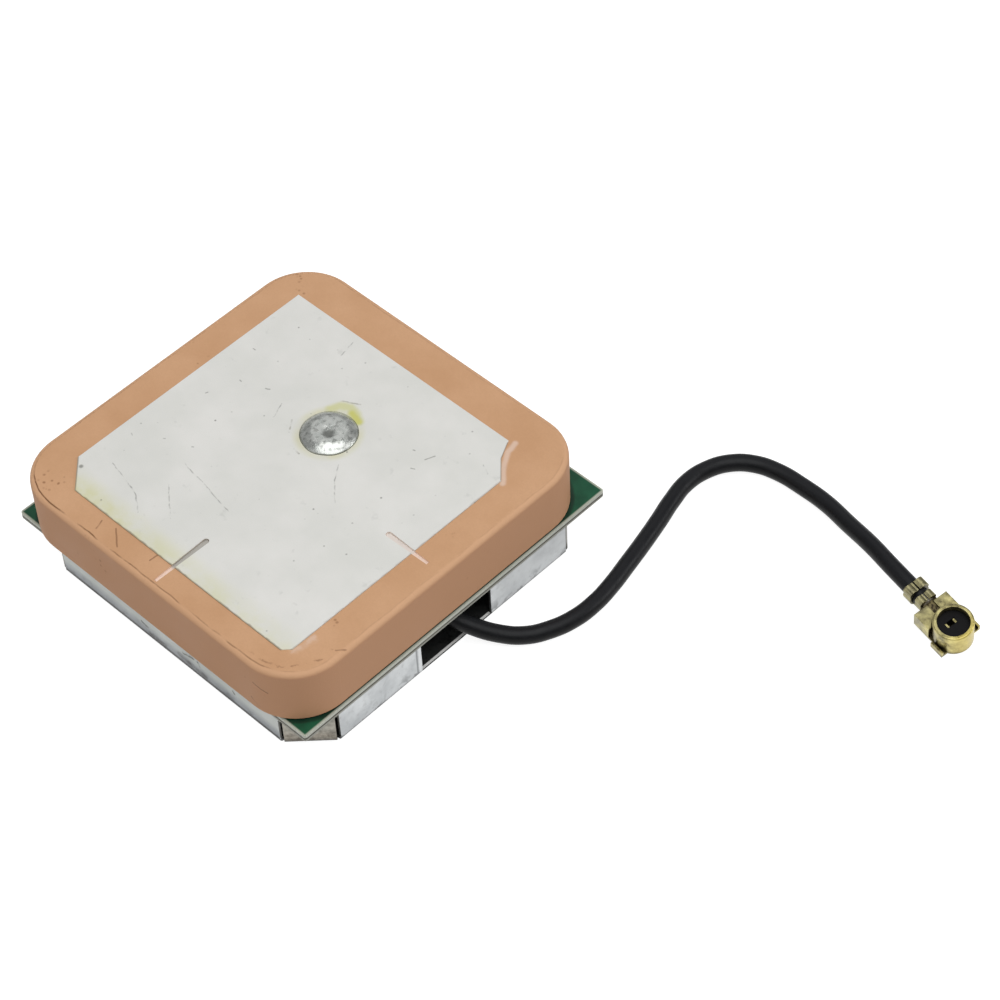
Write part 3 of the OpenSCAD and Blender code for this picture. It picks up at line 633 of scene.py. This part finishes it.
def solder_material():
    shader = Shader("solder", SOLDER_GREY, roughness=0.3, metallic=0.92)
    cloud = shader.noise(0.5 * MM, detail=4.0)
    tone = shader.mix(shader.spread(cloud), SOLDER_DARK, SOLDER_LIGHT)
    shader.set(Base_Color=tone, Roughness=shader.spread(cloud, 0.2, 0.42))
    return shader.bump(cloud, depth=0.04 * MM, strength=0.5)


# Solder cap

CAP_GREY = linear(204, 206, 201)
CAP_DARK = linear(180, 184, 180)
CAP_LIGHT = linear(214, 216, 212)
PIT_GREY = linear(92, 93, 89)
CRUST_GREY = linear(92, 93, 88)
FOOT_GREY = linear(120, 121, 110)

PIT_OFFSET = Vector((0.26, -0.24, 0)) * MM
PIT_REACH = 0.36 * MM
PIT_DEPTH = 0.3
PIT_STRETCH = (0.85, 0.85, 0)
# Shares of the cap's radius and height, from the middle to the foot
CAP_PROFILE = [
    (0.0, 0.93),
    (0.28, 0.97),
    (0.45, 0.97),
    (0.6, 0.93),
    (0.68, 0.84),
    (0.76, 0.7),
    (0.86, 0.45),
    (0.94, 0.2),
    (1.0, 0.0),
]
# How much, how closely and from where the noise makes the cap uneven
CAP_WAVES = [
    (0.07, 2.6, Vector((3.1, 0.4, 0.0))),
    (0.05, 6.5, Vector((0.0, 7.7, 2.0))),
]
CAP_EVEN_FOOT = 0.97
CAP_RAGGED_EDGE = 0.02
CAP_RAGGED_PACE = 1.7
CAP_SEGMENTS = 72
CAP_RINGS = 26
CAP_BASE = Vector((CAP_MIDDLE.x, CAP_MIDDLE.y, PATCH_TOP))


def cap_material():
    shader = Shader("cap_solder", CAP_GREY, roughness=0.3, metallic=0.78)
    cloud = shader.noise(0.42 * MM, detail=4.0)
    frost = shader.noise(0.09 * MM, detail=2.0)
    ragged = shader.shaken(amount=0.12 * MM, size=0.35 * MM)
    pit_middle = CAP_MIDDLE + PIT_OFFSET
    pit = shader.near(pit_middle, full=0.2 * MM, none=0.4 * MM, stretch=PIT_STRETCH, place=ragged)
    foot = shader.fall(shader.axis("Z"), PATCH_TOP + 0.02 * MM, PATCH_TOP + 0.1 * MM, share=0.6)
    shader.tone = shader.mix(shader.spread(cloud), CAP_DARK, CAP_LIGHT)
    shader.paint(PIT_GREY, pit, 0.7)
    shader.paint(CRUST_GREY, shader.rise(shader.noise(0.28 * MM), 0.56, 0.62, share=0.42))
    shader.paint(FOOT_GREY, foot)
    rough = shader.most(shader.spread(cloud, 0.18, 0.4), shader.product(pit, 0.7))
    shader.set(Base_Color=shader.tone, Roughness=rough)
    return shader.bump(frost, depth=0.015 * MM, strength=0.5)


def profile_height(share):
    """Height of the solder cap at a share of its radius, as a share of its height."""
    for (inner, low), (outer, high) in zip(CAP_PROFILE, CAP_PROFILE[1:]):
        if share <= outer:
            blend = (share - inner) / (outer - inner)
            return low + (high - low) * blend
    return 0.0


def pit_dip(place):
    """How far the pit lowers the cap at a place, as a share of its height."""
    return PIT_DEPTH * math.exp(-((place - PIT_OFFSET).length / PIT_REACH) ** 2)


def cap_point(share, turn):
    """Point of the cap's skin at a share of its radius and an angle."""
    heading = Vector((math.cos(turn), math.sin(turn), 0))
    flat = heading * share
    lift = 1.0
    if share < CAP_EVEN_FOOT:
        lift += sum(amount * noise.noise(flat * pace + start) for amount, pace, start in CAP_WAVES)
    edge = 1 - CAP_RAGGED_EDGE * (1 + noise.noise(heading * CAP_RAGGED_PACE)) * share
    dip = pit_dip(flat * CAP_RADIUS) * (1 - share)
    height = (min(1.0, profile_height(share) * lift) - dip) * CAP_HEIGHT
    return CAP_BASE + flat * CAP_RADIUS * edge + Vector((0, 0, height))


def make_solder_cap():
    """Solder cap with the uneven shoulder and dished middle of a hand-made joint."""
    mesh = bpy.data.meshes.new("solder_cap")
    form = bmesh.new()
    rings = []
    for ring in range(1, CAP_RINGS + 1):
        row = []
        for segment in range(CAP_SEGMENTS):
            turn = 2 * math.pi * segment / CAP_SEGMENTS
            row.append(form.verts.new(cap_point(ring / CAP_RINGS, turn)))
        rings.append(row)
    peak = (profile_height(0.0) - pit_dip(Vector())) * CAP_HEIGHT
    middle = form.verts.new(CAP_BASE + Vector((0, 0, peak)))
    floor = form.verts.new(CAP_BASE)
    for segment in range(CAP_SEGMENTS):
        after = (segment + 1) % CAP_SEGMENTS
        form.faces.new((middle, rings[0][segment], rings[0][after]))
        form.faces.new((floor, rings[-1][after], rings[-1][segment]))
        for inner, outer in zip(rings, rings[1:]):
            form.faces.new((inner[segment], outer[segment], outer[after], inner[after]))
    for face in form.faces:
        face.smooth = True
    form.to_mesh(mesh)
    form.free()
    cap = bpy.data.objects.new("solder_cap", mesh)
    bpy.context.scene.collection.objects.link(cap)
    mesh.materials.append(cap_material().material)
    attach(cap, "root")
    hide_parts("feed_solder_cap")


# Circuit board

MASK_GREEN = linear(16, 80, 54)
MASK_DARK = linear(10, 66, 44)
MASK_LIGHT = linear(22, 88, 60)
MASK_SHADED = linear(12, 20, 16)
WORN_RIM = linear(188, 192, 178)
EDGE_SHADE_GREY = linear(150, 150, 140)
EDGE_LIGHT = linear(176, 177, 168)
EDGE_PALE = linear(206, 209, 198)
EDGE_SHADOW_LINE = linear(70, 64, 54)

PALE_EDGE = (board_high.z - 0.24 * MM, board_high.z - 0.18 * MM)
SHADOW_LINE_HEIGHT = board_high.z - 0.29 * MM
SHADED_BAND = (-0.32 * MM, -0.16 * MM)
FIBRE_STRETCH = (0.25, 0.25, 2.0)


def board_edge_tone(shader, fibre):
    """Sawn edge: pale along the top, then a dark line painted as a shadow line, and grey fibre below it,
    darkened as painted shade.
    """
    height = shader.axis("Z")
    # Painted shade: the lower part of the edge is grey, like the shaded can wall below it
    edge = shader.mix(fibre, EDGE_SHADE_GREY, EDGE_LIGHT)
    edge = shader.mix(shader.rise(height, *PALE_EDGE), edge, EDGE_PALE)
    # Painted shadow line across the edge, under the pale top
    return shader.mix(shader.band(height, SHADOW_LINE_HEIGHT, 0.04 * MM, 0.08 * MM, share=0.9), edge, EDGE_SHADOW_LINE)


def board_material():
    shader = Shader("circuit_board", MASK_GREEN, roughness=0.46)
    shader.set(Specular_IOR_Level=0.3)
    cloud = shader.noise(1.2 * MM, detail=4.0)
    fibre = shader.noise(0.1 * MM, place=shader.stretched(*FIBRE_STRETCH))
    depth = shader.inset(BOARD_MIDDLE, board_high.x, BOARD_CORNER)
    worn = shader.fall(depth, 0.06 * MM, 0.16 * MM)
    flat = shader.rise(shader.math("ABSOLUTE", shader.facing("Z")), 0.4, 0.8)
    shader.tone = shader.mix(shader.spread(cloud), MASK_DARK, MASK_LIGHT)
    shader.paint(MASK_SHADED, shader.rise(block_inset(shader), *SHADED_BAND, share=0.65))
    shader.paint(WORN_RIM, worn, 0.85)
    tone = shader.mix(flat, board_edge_tone(shader, fibre), shader.tone)
    shader.set(Base_Color=tone, Roughness=shader.remap(worn, 0.0, 1.0, 0.44, 0.62))
    return shader.bump(fibre, depth=0.02 * MM, strength=0.4)


# Shield can

TINPLATE = linear(186, 189, 191)
TINPLATE_LIGHT = linear(196, 199, 200)
TINPLATE_DULL = linear(168, 171, 173)
TINPLATE_FINE = linear(140, 141, 140)
FRONT_SHADE_GREY = linear(118, 122, 126)
FRONT_UPPER_LIGHT_GREY = linear(176, 180, 174)
CORNER_SHADE_DARK = linear(112, 106, 96)
CORNER_SHADE_LIGHT = linear(164, 158, 146)
FAR_GREY = linear(160, 162, 163)
FOLD_SHADE_BLACK = linear(44, 44, 43)
LOW_WALL_GREY = linear(62, 62, 62)
SCAR_GREY = linear(58, 55, 54)
NOTCH_LIP_HIGHLIGHT = linear(214, 216, 217)
NOTCH_BEND_SHADE = linear(104, 106, 108)
SILL_HIGHLIGHT_WHITE = linear(246, 246, 244)
SILL_SHADE_DARK = linear(60, 60, 58)

CAN_METALLIC = 0.88
SILL_METALLIC = 0.05
ROLLED_STRETCH = (0.1, 0.1, 1.0)
FRONT_HIGH = (0.8 * MM, 1.4 * MM)
FAR_END = (2.0 * MM, 5.0 * MM)
FRONT_FOLD = (0.44 * MM, 0.64 * MM)
OTHER_FOLDS = (0.26 * MM, 0.4 * MM)
LOW_WALL_HEIGHT = (0.2 * MM, 1.3 * MM)
NOTCH_EDGE = -2.85 * MM
NOTCH_LIP = 0.14 * MM
NOTCH_LINE = 0.38 * MM
SILL_HEIGHT = 0.2 * MM
CAN_SCRATCHES = [
    (on_front_wall(-2.4, 1.25), on_front_wall(-1.9, 1.15)),
    (on_front_wall(1.3, 1.4), on_front_wall(2.25, 1.6)),
    (on_front_wall(2.6, 1.6), on_front_wall(2.75, 1.35)),
    (on_front_wall(5.7, 1.5), on_front_wall(5.8, 1.4)),
]
CAN_GRIME = [
    (on_front_wall(-1.7, 0.7), on_front_wall(-0.5, 0.66)),
    (on_front_wall(0.9, 0.95), on_front_wall(1.8, 0.86)),
    (on_front_wall(1.8, 0.86), on_front_wall(3.2, 0.72)),
]


def paint_can_walls(shader, fine, forward):
    """Front wall painted darker grey as painted shade and lighter above as painted light, slanted corner
    panels painted a darker brown-grey as painted shade, duller metal at the far end.
    """
    # Painted shade: the front-facing wall is painted darker grey
    shader.paint(FRONT_SHADE_GREY, forward, 0.85)
    # Painted shade: the slanted corner panels are painted a darker brown-grey
    slant = shader.math("ABSOLUTE", shader.product(shader.facing("X"), shader.facing("Y")))
    brown = shader.mix(shader.rise(fine, 0.35, 0.65), CORNER_SHADE_DARK, CORNER_SHADE_LIGHT)
    shader.paint(brown, shader.rise(slant, 0.3, 0.42))
    # Painted light: the front wall is painted lighter towards the top
    shader.paint(FRONT_UPPER_LIGHT_GREY, forward, shader.rise(shader.axis("Z"), *FRONT_HIGH, share=0.7))
    shader.paint(FAR_GREY, shader.rise(shader.axis("Y"), *FAR_END, share=0.5))


def paint_can_fold_and_marks(shader, forward):
    """Dark line along the bottom fold as painted shade, patchy dark grey that is darker towards the bottom,
    and scratches and grime on the front wall.
    """
    height = shader.axis("Z")
    fold = shader.most(
        shader.product(shader.fall(height, *FRONT_FOLD), forward),
        shader.fall(height, *OTHER_FOLDS, share=0.8),
    )
    on_side = shader.rise(shader.facing("Z"), -0.95, -0.8)
    patchy = shader.rise(shader.noise(0.9 * MM), 0.52, 0.62)
    # Painted shade: a dark line along the bottom fold of the walls
    shader.paint(FOLD_SHADE_BLACK, fold, on_side)
    # Patchy dark grey, darker towards the bottom of the walls
    shader.paint(LOW_WALL_GREY, shader.fall(height, *LOW_WALL_HEIGHT), patchy, on_side, 0.7)
    shaken = shader.shaken(amount=0.12 * MM, size=0.5 * MM)
    scars = shader.most(
        shader.lines(CAN_SCRATCHES, full=0.03 * MM, none=0.14 * MM, place=shaken),
        shader.lines(CAN_GRIME, full=0.06 * MM, none=0.3 * MM, place=shaken),
    )
    shader.paint(SCAR_GREY, scars, shader.remap(shader.noise(0.3 * MM), 0.38, 0.55, 0.3, 0.8))


def paint_notch_lip_light(shader):
    """Painted highlight of a bent lip at the notch's near edge, with a grey line of painted shade where it
    bends.
    """
    on_wall = shader.rise(shader.axis("X"), can_high.x - 0.02 * MM, can_high.x - 0.01 * MM)
    before_notch = shader.math("SUBTRACT", NOTCH_EDGE, shader.axis("Y"))
    lip = shader.band(before_notch, NOTCH_LIP, full=0.06 * MM, none=0.14 * MM)
    line = shader.band(before_notch, NOTCH_LINE, full=0.03 * MM, none=0.1 * MM)
    shader.paint(NOTCH_LIP_HIGHLIGHT, lip, on_wall, 0.6)
    shader.paint(NOTCH_BEND_SHADE, line, on_wall, 0.7)


def paint_notch_sill_light(shader):
    """Sill under the notch painted white as a highlight, with a dark painted shade line along its outer rim.
    Returns the sill, which is barely metallic.
    """
    across = shader.axis("X")
    height = shader.axis("Z")
    sill = shader.product(
        shader.rise(across, can_high.x - 0.3 * MM, can_high.x - 0.26 * MM),
        shader.rise(height, SILL_HEIGHT - 0.02 * MM, SILL_HEIGHT - 0.01 * MM),
        shader.fall(height, SILL_HEIGHT + 0.01 * MM, SILL_HEIGHT + 0.02 * MM),
        shader.rise(shader.facing("Z"), 0.8, 0.9),
    )
    rim = shader.rise(across, can_high.x - 0.12 * MM, can_high.x - 0.1 * MM)
    shader.paint(shader.mix(rim, SILL_HIGHLIGHT_WHITE, SILL_SHADE_DARK), sill)
    return sill


def can_material():
    shader = Shader("can_tinplate", TINPLATE, roughness=0.34, metallic=CAN_METALLIC)
    smudge = shader.noise(2.2 * MM, detail=5.0)
    fine = shader.noise(0.35 * MM, detail=4.0)
    rolled = shader.noise(0.08 * MM, detail=2.0, place=shader.stretched(*ROLLED_STRETCH))
    forward = shader.fall(shader.facing("Y"), -0.9, -0.6)
    shader.tone = shader.mix(shader.rise(smudge, 0.4, 0.72), TINPLATE_LIGHT, TINPLATE_DULL)
    shader.paint(TINPLATE_FINE, shader.rise(fine, 0.55, 0.8, share=0.5))
    paint_can_walls(shader, fine, forward)
    paint_can_fold_and_marks(shader, forward)
    paint_notch_lip_light(shader)
    sill = paint_notch_sill_light(shader)
    shader.set(
        Base_Color=shader.tone,
        Roughness=shader.spread(smudge, 0.28, 0.46),
        Metallic=shader.remap(sill, 0.0, 1.0, CAN_METALLIC, SILL_METALLIC),
    )
    return shader.bump(rolled, depth=0.004 * MM, strength=0.4, soft_edge=0.05 * MM)


# Tinned copper, mouldings and small ceramics

TINNED = linear(205, 202, 192)
TINNED_ROUGHNESS = 0.34
MOULDING_BLACK = linear(10, 9, 12)
MOULDING_GLOSS = 0.15
CERAMIC_GLOSS = 0.4
CHIP_BROWN = linear(158, 124, 92)
CHIP_WHITE = linear(226, 226, 228)
CHIP_CREAM = linear(206, 198, 180)
DIELECTRIC_SHADED = linear(120, 114, 104)
NECK_DARK = linear(52, 44, 30)
NECK_LIGHT = linear(132, 120, 84)


def tinned_material():
    shader = Shader("tinned_copper", TINNED, TINNED_ROUGHNESS, metallic=0.9)
    smudge = shader.noise(2.2 * MM, detail=5.0)
    grain = shader.noise(0.08 * MM, detail=2.0, place=shader.stretched(*ROLLED_STRETCH))
    tone = shader.mix(shader.rise(smudge, 0.4, 0.75), TINNED, shade(TINNED, 0.78))
    rough = shader.spread(smudge, TINNED_ROUGHNESS - 0.08, TINNED_ROUGHNESS + 0.12)
    shader.set(Base_Color=tone, Roughness=rough)
    return shader.bump(grain, depth=0.004 * MM, strength=0.4, soft_edge=0.05 * MM)


def moulding_material(name, colour, roughness=0.5, gloss=CERAMIC_GLOSS):
    """Fine-grained moulding or fired body of one colour."""
    shader = Shader(name, colour, roughness)
    shader.set(Specular_IOR_Level=gloss)
    grain = shader.noise(0.05 * MM)
    tone = shader.mix(shader.rise(grain, 0.35, 0.75), colour, shade(colour, 1.5))
    shader.set(Base_Color=tone)
    return shader.bump(grain, depth=0.006 * MM, strength=0.5, soft_edge=0.03 * MM)


def insulator_material():
    """Black inside the plug's ring, and stained at the neck outside it."""
    shader = moulding_material("plug_moulding", MOULDING_BLACK, gloss=MOULDING_GLOSS)
    inside = shader.near(PLUG_MIDDLE, full=1.15 * MM, none=1.25 * MM, stretch=IN_PLAN)
    stain = shader.noise(0.16 * MM)
    neck = shader.mix(shader.rise(stain, 0.4, 0.6), NECK_DARK, NECK_LIGHT)
    shader.set(Base_Color=shader.mix(inside, neck, MOULDING_BLACK))
    return shader


# Gold plate

GOLD = linear(176, 158, 98)
GOLD_TARNISHED = linear(118, 110, 76)
GOLD_BRIGHT = linear(212, 202, 142)
GOLD_GREYED = linear(128, 125, 102)
GOLD_YELLOW = linear(204, 184, 92)
GOLD_HOLLOW_SHADE = linear(40, 30, 20)

LEAD_END = (PLUG_MIDDLE.x - 2.6 * MM, PLUG_MIDDLE.x - 1.2 * MM)
NOSE_END = (PLUG_MIDDLE.x + 0.2 * MM, PLUG_MIDDLE.x + 1.2 * MM)
HOLLOW_REACH = 0.4 * MM


def gold_material():
    shader = Shader("gold_plate", GOLD, roughness=0.32, metallic=0.92)
    tarnish = shader.noise(0.45 * MM, detail=4.0)
    grain = shader.noise(0.05 * MM, detail=2.0)
    along = shader.axis("X")
    shader.tone = shader.mix(shader.rise(tarnish, 0.35, 0.7), GOLD_TARNISHED, GOLD_BRIGHT)
    shader.paint(GOLD_GREYED, shader.fall(along, *LEAD_END, share=0.6))
    shader.paint(GOLD_YELLOW, shader.rise(along, *NOSE_END, share=0.6))
    # Painted shade: hollows narrower than the reach are painted dark brown
    shader.paint(GOLD_HOLLOW_SHADE, shader.fall(shader.shelter(HOLLOW_REACH), 0.4, 0.95, share=0.95))
    shader.set(Base_Color=shader.tone, Roughness=shader.spread(tarnish, 0.24, 0.44))
    return shader.bump(grain, depth=0.006 * MM, strength=0.5, soft_edge=0.04 * MM)


def dress_nodes():
    tinned = tinned_material()
    solder = solder_material()
    black = moulding_material("black_moulding", MOULDING_BLACK, gloss=MOULDING_GLOSS)
    brown = moulding_material("brown_ceramic", CHIP_BROWN)
    white = moulding_material("white_ceramic", CHIP_WHITE)
    cream = moulding_material("cream_ceramic", CHIP_CREAM, roughness=0.55)
    # Painted shade: the plug's white dielectric is painted a dim grey-brown where it sits in shadow
    stained = moulding_material("shaded_dielectric", DIELECTRIC_SHADED, roughness=0.55)
    dress(ceramic_material(), "ceramic_block")
    dress(silver_material(), "patch_electrode", "ground_electrode")
    dress(cream, "adhesive_sheet", "filter_body")
    dress(solder, "feed_solder_cap", "feed_solder_joint", "can_solder", "cable_solder")
    dress(board_material(), "circuit_board")
    dress(can_material(), "shield_can")
    dress(tinned, "feed_pin", "ground_rim", "board_pads", "amplifier_leads")
    dress(tinned, "cable_braid", "cable_conductor", "plug_braid")
    dress(black, "amplifier_chip", "resistor_1")
    dress(insulator_material(), "plug_insulator")
    for number in (1, 2, 3):
        dress(brown, f"capacitor_{number}")
        dress(tinned, f"capacitor_{number}_ends")
    for number in (1, 2):
        dress(white, f"inductor_{number}")
        dress(tinned, f"inductor_{number}_ends")
    dress(tinned, "resistor_1_ends")
    dress(white, "cable_dielectric")
    # The plug's dielectric wire takes the painted shade colour
    dress(stained, "plug_wire")
    dress(gold_material(), "plug_shell", "plug_ring", "plug_contact", "filter_lid_plate")


# Lead

JACKET_BLACK = linear(9, 10, 12)
JACKET_DARK = linear(5, 6, 7)
JACKET_LIGHT = linear(13, 14, 17)
JACKET_TOP_HIGHLIGHT = linear(30, 31, 34)

LEAD_DIAMETER = 1.13 * MM
LEAD_ROUNDNESS = 6
LEAD_STEPS = 8
STUB_HEIGHT = 2.5
LAY_HEIGHT = 0.6
TAIL_HEIGHT = 1.325
TAIL_DROP = 0.125
# Millimetres, from inside the can to inside the plug's crimp
ROUTE = [
    (8.8, 0, STUB_HEIGHT),
    (10, 0, STUB_HEIGHT),
    (11.2, 0.3, 1.95),
    (12.5, 0.9, 1.4),
    (13.9, 1.9, 0.85),
    (15, 3, LAY_HEIGHT),
    (15.8, 4.3, LAY_HEIGHT),
    (16.3, 5.9, LAY_HEIGHT),
    (16.4, 7.6, LAY_HEIGHT),
    (16.2, 9.3, LAY_HEIGHT),
    (15.8, 11.2, LAY_HEIGHT),
    (15.4, 13, LAY_HEIGHT),
    (14.9, 15, LAY_HEIGHT),
    (14.4, 16.8, LAY_HEIGHT),
    (14.1, 18.5, LAY_HEIGHT),
    (14.3, 20.1, LAY_HEIGHT),
    (15, 21.5, LAY_HEIGHT),
    (16.2, 22.5, LAY_HEIGHT),
    (17.8, 23, LAY_HEIGHT),
    (19.6, 23.1, LAY_HEIGHT),
    (21.6, 23, 0.65),
    (23.8, 22.5, 0.85),
    (26.1, 21.9, 1.2),
    (28, 21.3, 1.45),
    (29.8, 20.88, TAIL_HEIGHT + TAIL_DROP),
    (31, 20.68, TAIL_HEIGHT),
]


def jacket_material():
    shader = Shader("lead_jacket", JACKET_BLACK, roughness=0.38)
    shader.set(Specular_IOR_Level=0.17)
    scuff = shader.noise(0.7 * MM, detail=4.0)
    grain = shader.noise(0.05 * MM, detail=2.0)
    shader.tone = shader.mix(shader.rise(scuff, 0.4, 0.75), JACKET_DARK, JACKET_LIGHT)
    # Painted highlight: the lead's upward-facing side is painted lighter
    shader.paint(JACKET_TOP_HIGHLIGHT, shader.rise(shader.facing("Z"), 0.35, 0.9, share=0.8))
    shader.set(Base_Color=shader.tone, Roughness=shader.spread(scuff, 0.32, 0.46))
    return shader.bump(grain, depth=0.01 * MM, strength=0.4)


def make_lead():
    data = bpy.data.curves.new("lead", "CURVE")
    data.dimensions = "3D"
    data.bevel_depth = LEAD_DIAMETER / 2
    data.bevel_resolution = LEAD_ROUNDNESS
    data.resolution_u = LEAD_STEPS
    data.use_fill_caps = True
    spline = data.splines.new("BEZIER")
    spline.bezier_points.add(len(ROUTE) - 1)
    for point, place in zip(spline.bezier_points, ROUTE):
        point.co = Vector(place) * MM
        point.handle_left_type = "AUTO"
        point.handle_right_type = "AUTO"
    lead = bpy.data.objects.new("lead", data)
    bpy.context.scene.collection.objects.link(lead)
    data.materials.append(jacket_material().material)
    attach(lead, "root")
    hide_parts("cable_jacket")


make_lead()
dress_nodes()
make_solder_cap()


# Floor, lights and world

FLOOR_REACH = 2.0
FLOOR_HEIGHT = -0.005 * MM
FLOOR_CORNERS = ((-1, -1), (1, -1), (1, 1), (-1, 1))
FLOOR_GREY = 0.42
FLOOR_GLOW = 0.85
WORLD_STRENGTH = 0.27
LIGHT_AIM = Vector((0.005, 0.005, 0.0))
# Each light's name, place and width in metres, and power in watts
LIGHTS = [
    ("overhead", Vector((0.12, -0.08, 0.46)), 0.58, 1.76),
    ("right", Vector((0.24, 0.22, 0.14)), 0.16, 0.27),
    ("left", Vector((-0.16, -0.32, 0.14)), 0.2, 0.14),
    ("back", Vector((-0.26, 0.25, 0.42)), 0.45, 0.24),
]


def floor_material():
    """Grey paint that takes shadows, with a white glow for the camera, reflections and glass."""
    material = bpy.data.materials.new("floor")
    material.use_nodes = True
    tree = material.node_tree
    tree.nodes.clear()
    output = tree.nodes.new("ShaderNodeOutputMaterial")
    total = tree.nodes.new("ShaderNodeAddShader")
    paint = tree.nodes.new("ShaderNodeBsdfDiffuse")
    paint.inputs["Color"].default_value = (FLOOR_GREY, FLOOR_GREY, FLOOR_GREY, 1)
    glow = tree.nodes.new("ShaderNodeEmission")
    rays = tree.nodes.new("ShaderNodeLightPath")
    seen = rays.outputs["Is Camera Ray"]
    for name in ("Is Glossy Ray", "Is Transmission Ray"):
        both = tree.nodes.new("ShaderNodeMath")
        both.operation = "MAXIMUM"
        tree.links.new(seen, both.inputs[0])
        tree.links.new(rays.outputs[name], both.inputs[1])
        seen = both.outputs["Value"]
    strength = tree.nodes.new("ShaderNodeMath")
    strength.operation = "MULTIPLY"
    strength.inputs[1].default_value = FLOOR_GLOW
    tree.links.new(seen, strength.inputs[0])
    tree.links.new(strength.outputs["Value"], glow.inputs["Strength"])
    tree.links.new(paint.outputs["BSDF"], total.inputs[0])
    tree.links.new(glow.outputs["Emission"], total.inputs[1])
    tree.links.new(total.outputs["Shader"], output.inputs["Surface"])
    return material


def make_floor():
    mesh = bpy.data.meshes.new("floor")
    corners = [(x * FLOOR_REACH, y * FLOOR_REACH, FLOOR_HEIGHT) for x, y in FLOOR_CORNERS]
    mesh.from_pydata(corners, [], [(0, 1, 2, 3)])
    floor = bpy.data.objects.new("floor", mesh)
    bpy.context.scene.collection.objects.link(floor)
    mesh.materials.append(floor_material())


def make_light(name, place, width, power):
    data = bpy.data.lights.new(name, "AREA")
    data.shape = "DISK"
    data.size = width
    data.energy = power
    light = bpy.data.objects.new(name, data)
    light.location = place
    light.rotation_euler = (LIGHT_AIM - place).to_track_quat("-Z", "Y").to_euler()
    bpy.context.scene.collection.objects.link(light)


def make_world():
    world = bpy.data.worlds.new("studio")
    bpy.context.scene.world = world
    world.use_nodes = True
    background = world.node_tree.nodes["Background"]
    background.inputs["Color"].default_value = (1, 1, 1, 1)
    background.inputs["Strength"].default_value = WORLD_STRENGTH


make_floor()
make_world()
for light_settings in LIGHTS:
    make_light(*light_settings)
bpy.context.scene.view_settings.view_transform = "Standard"
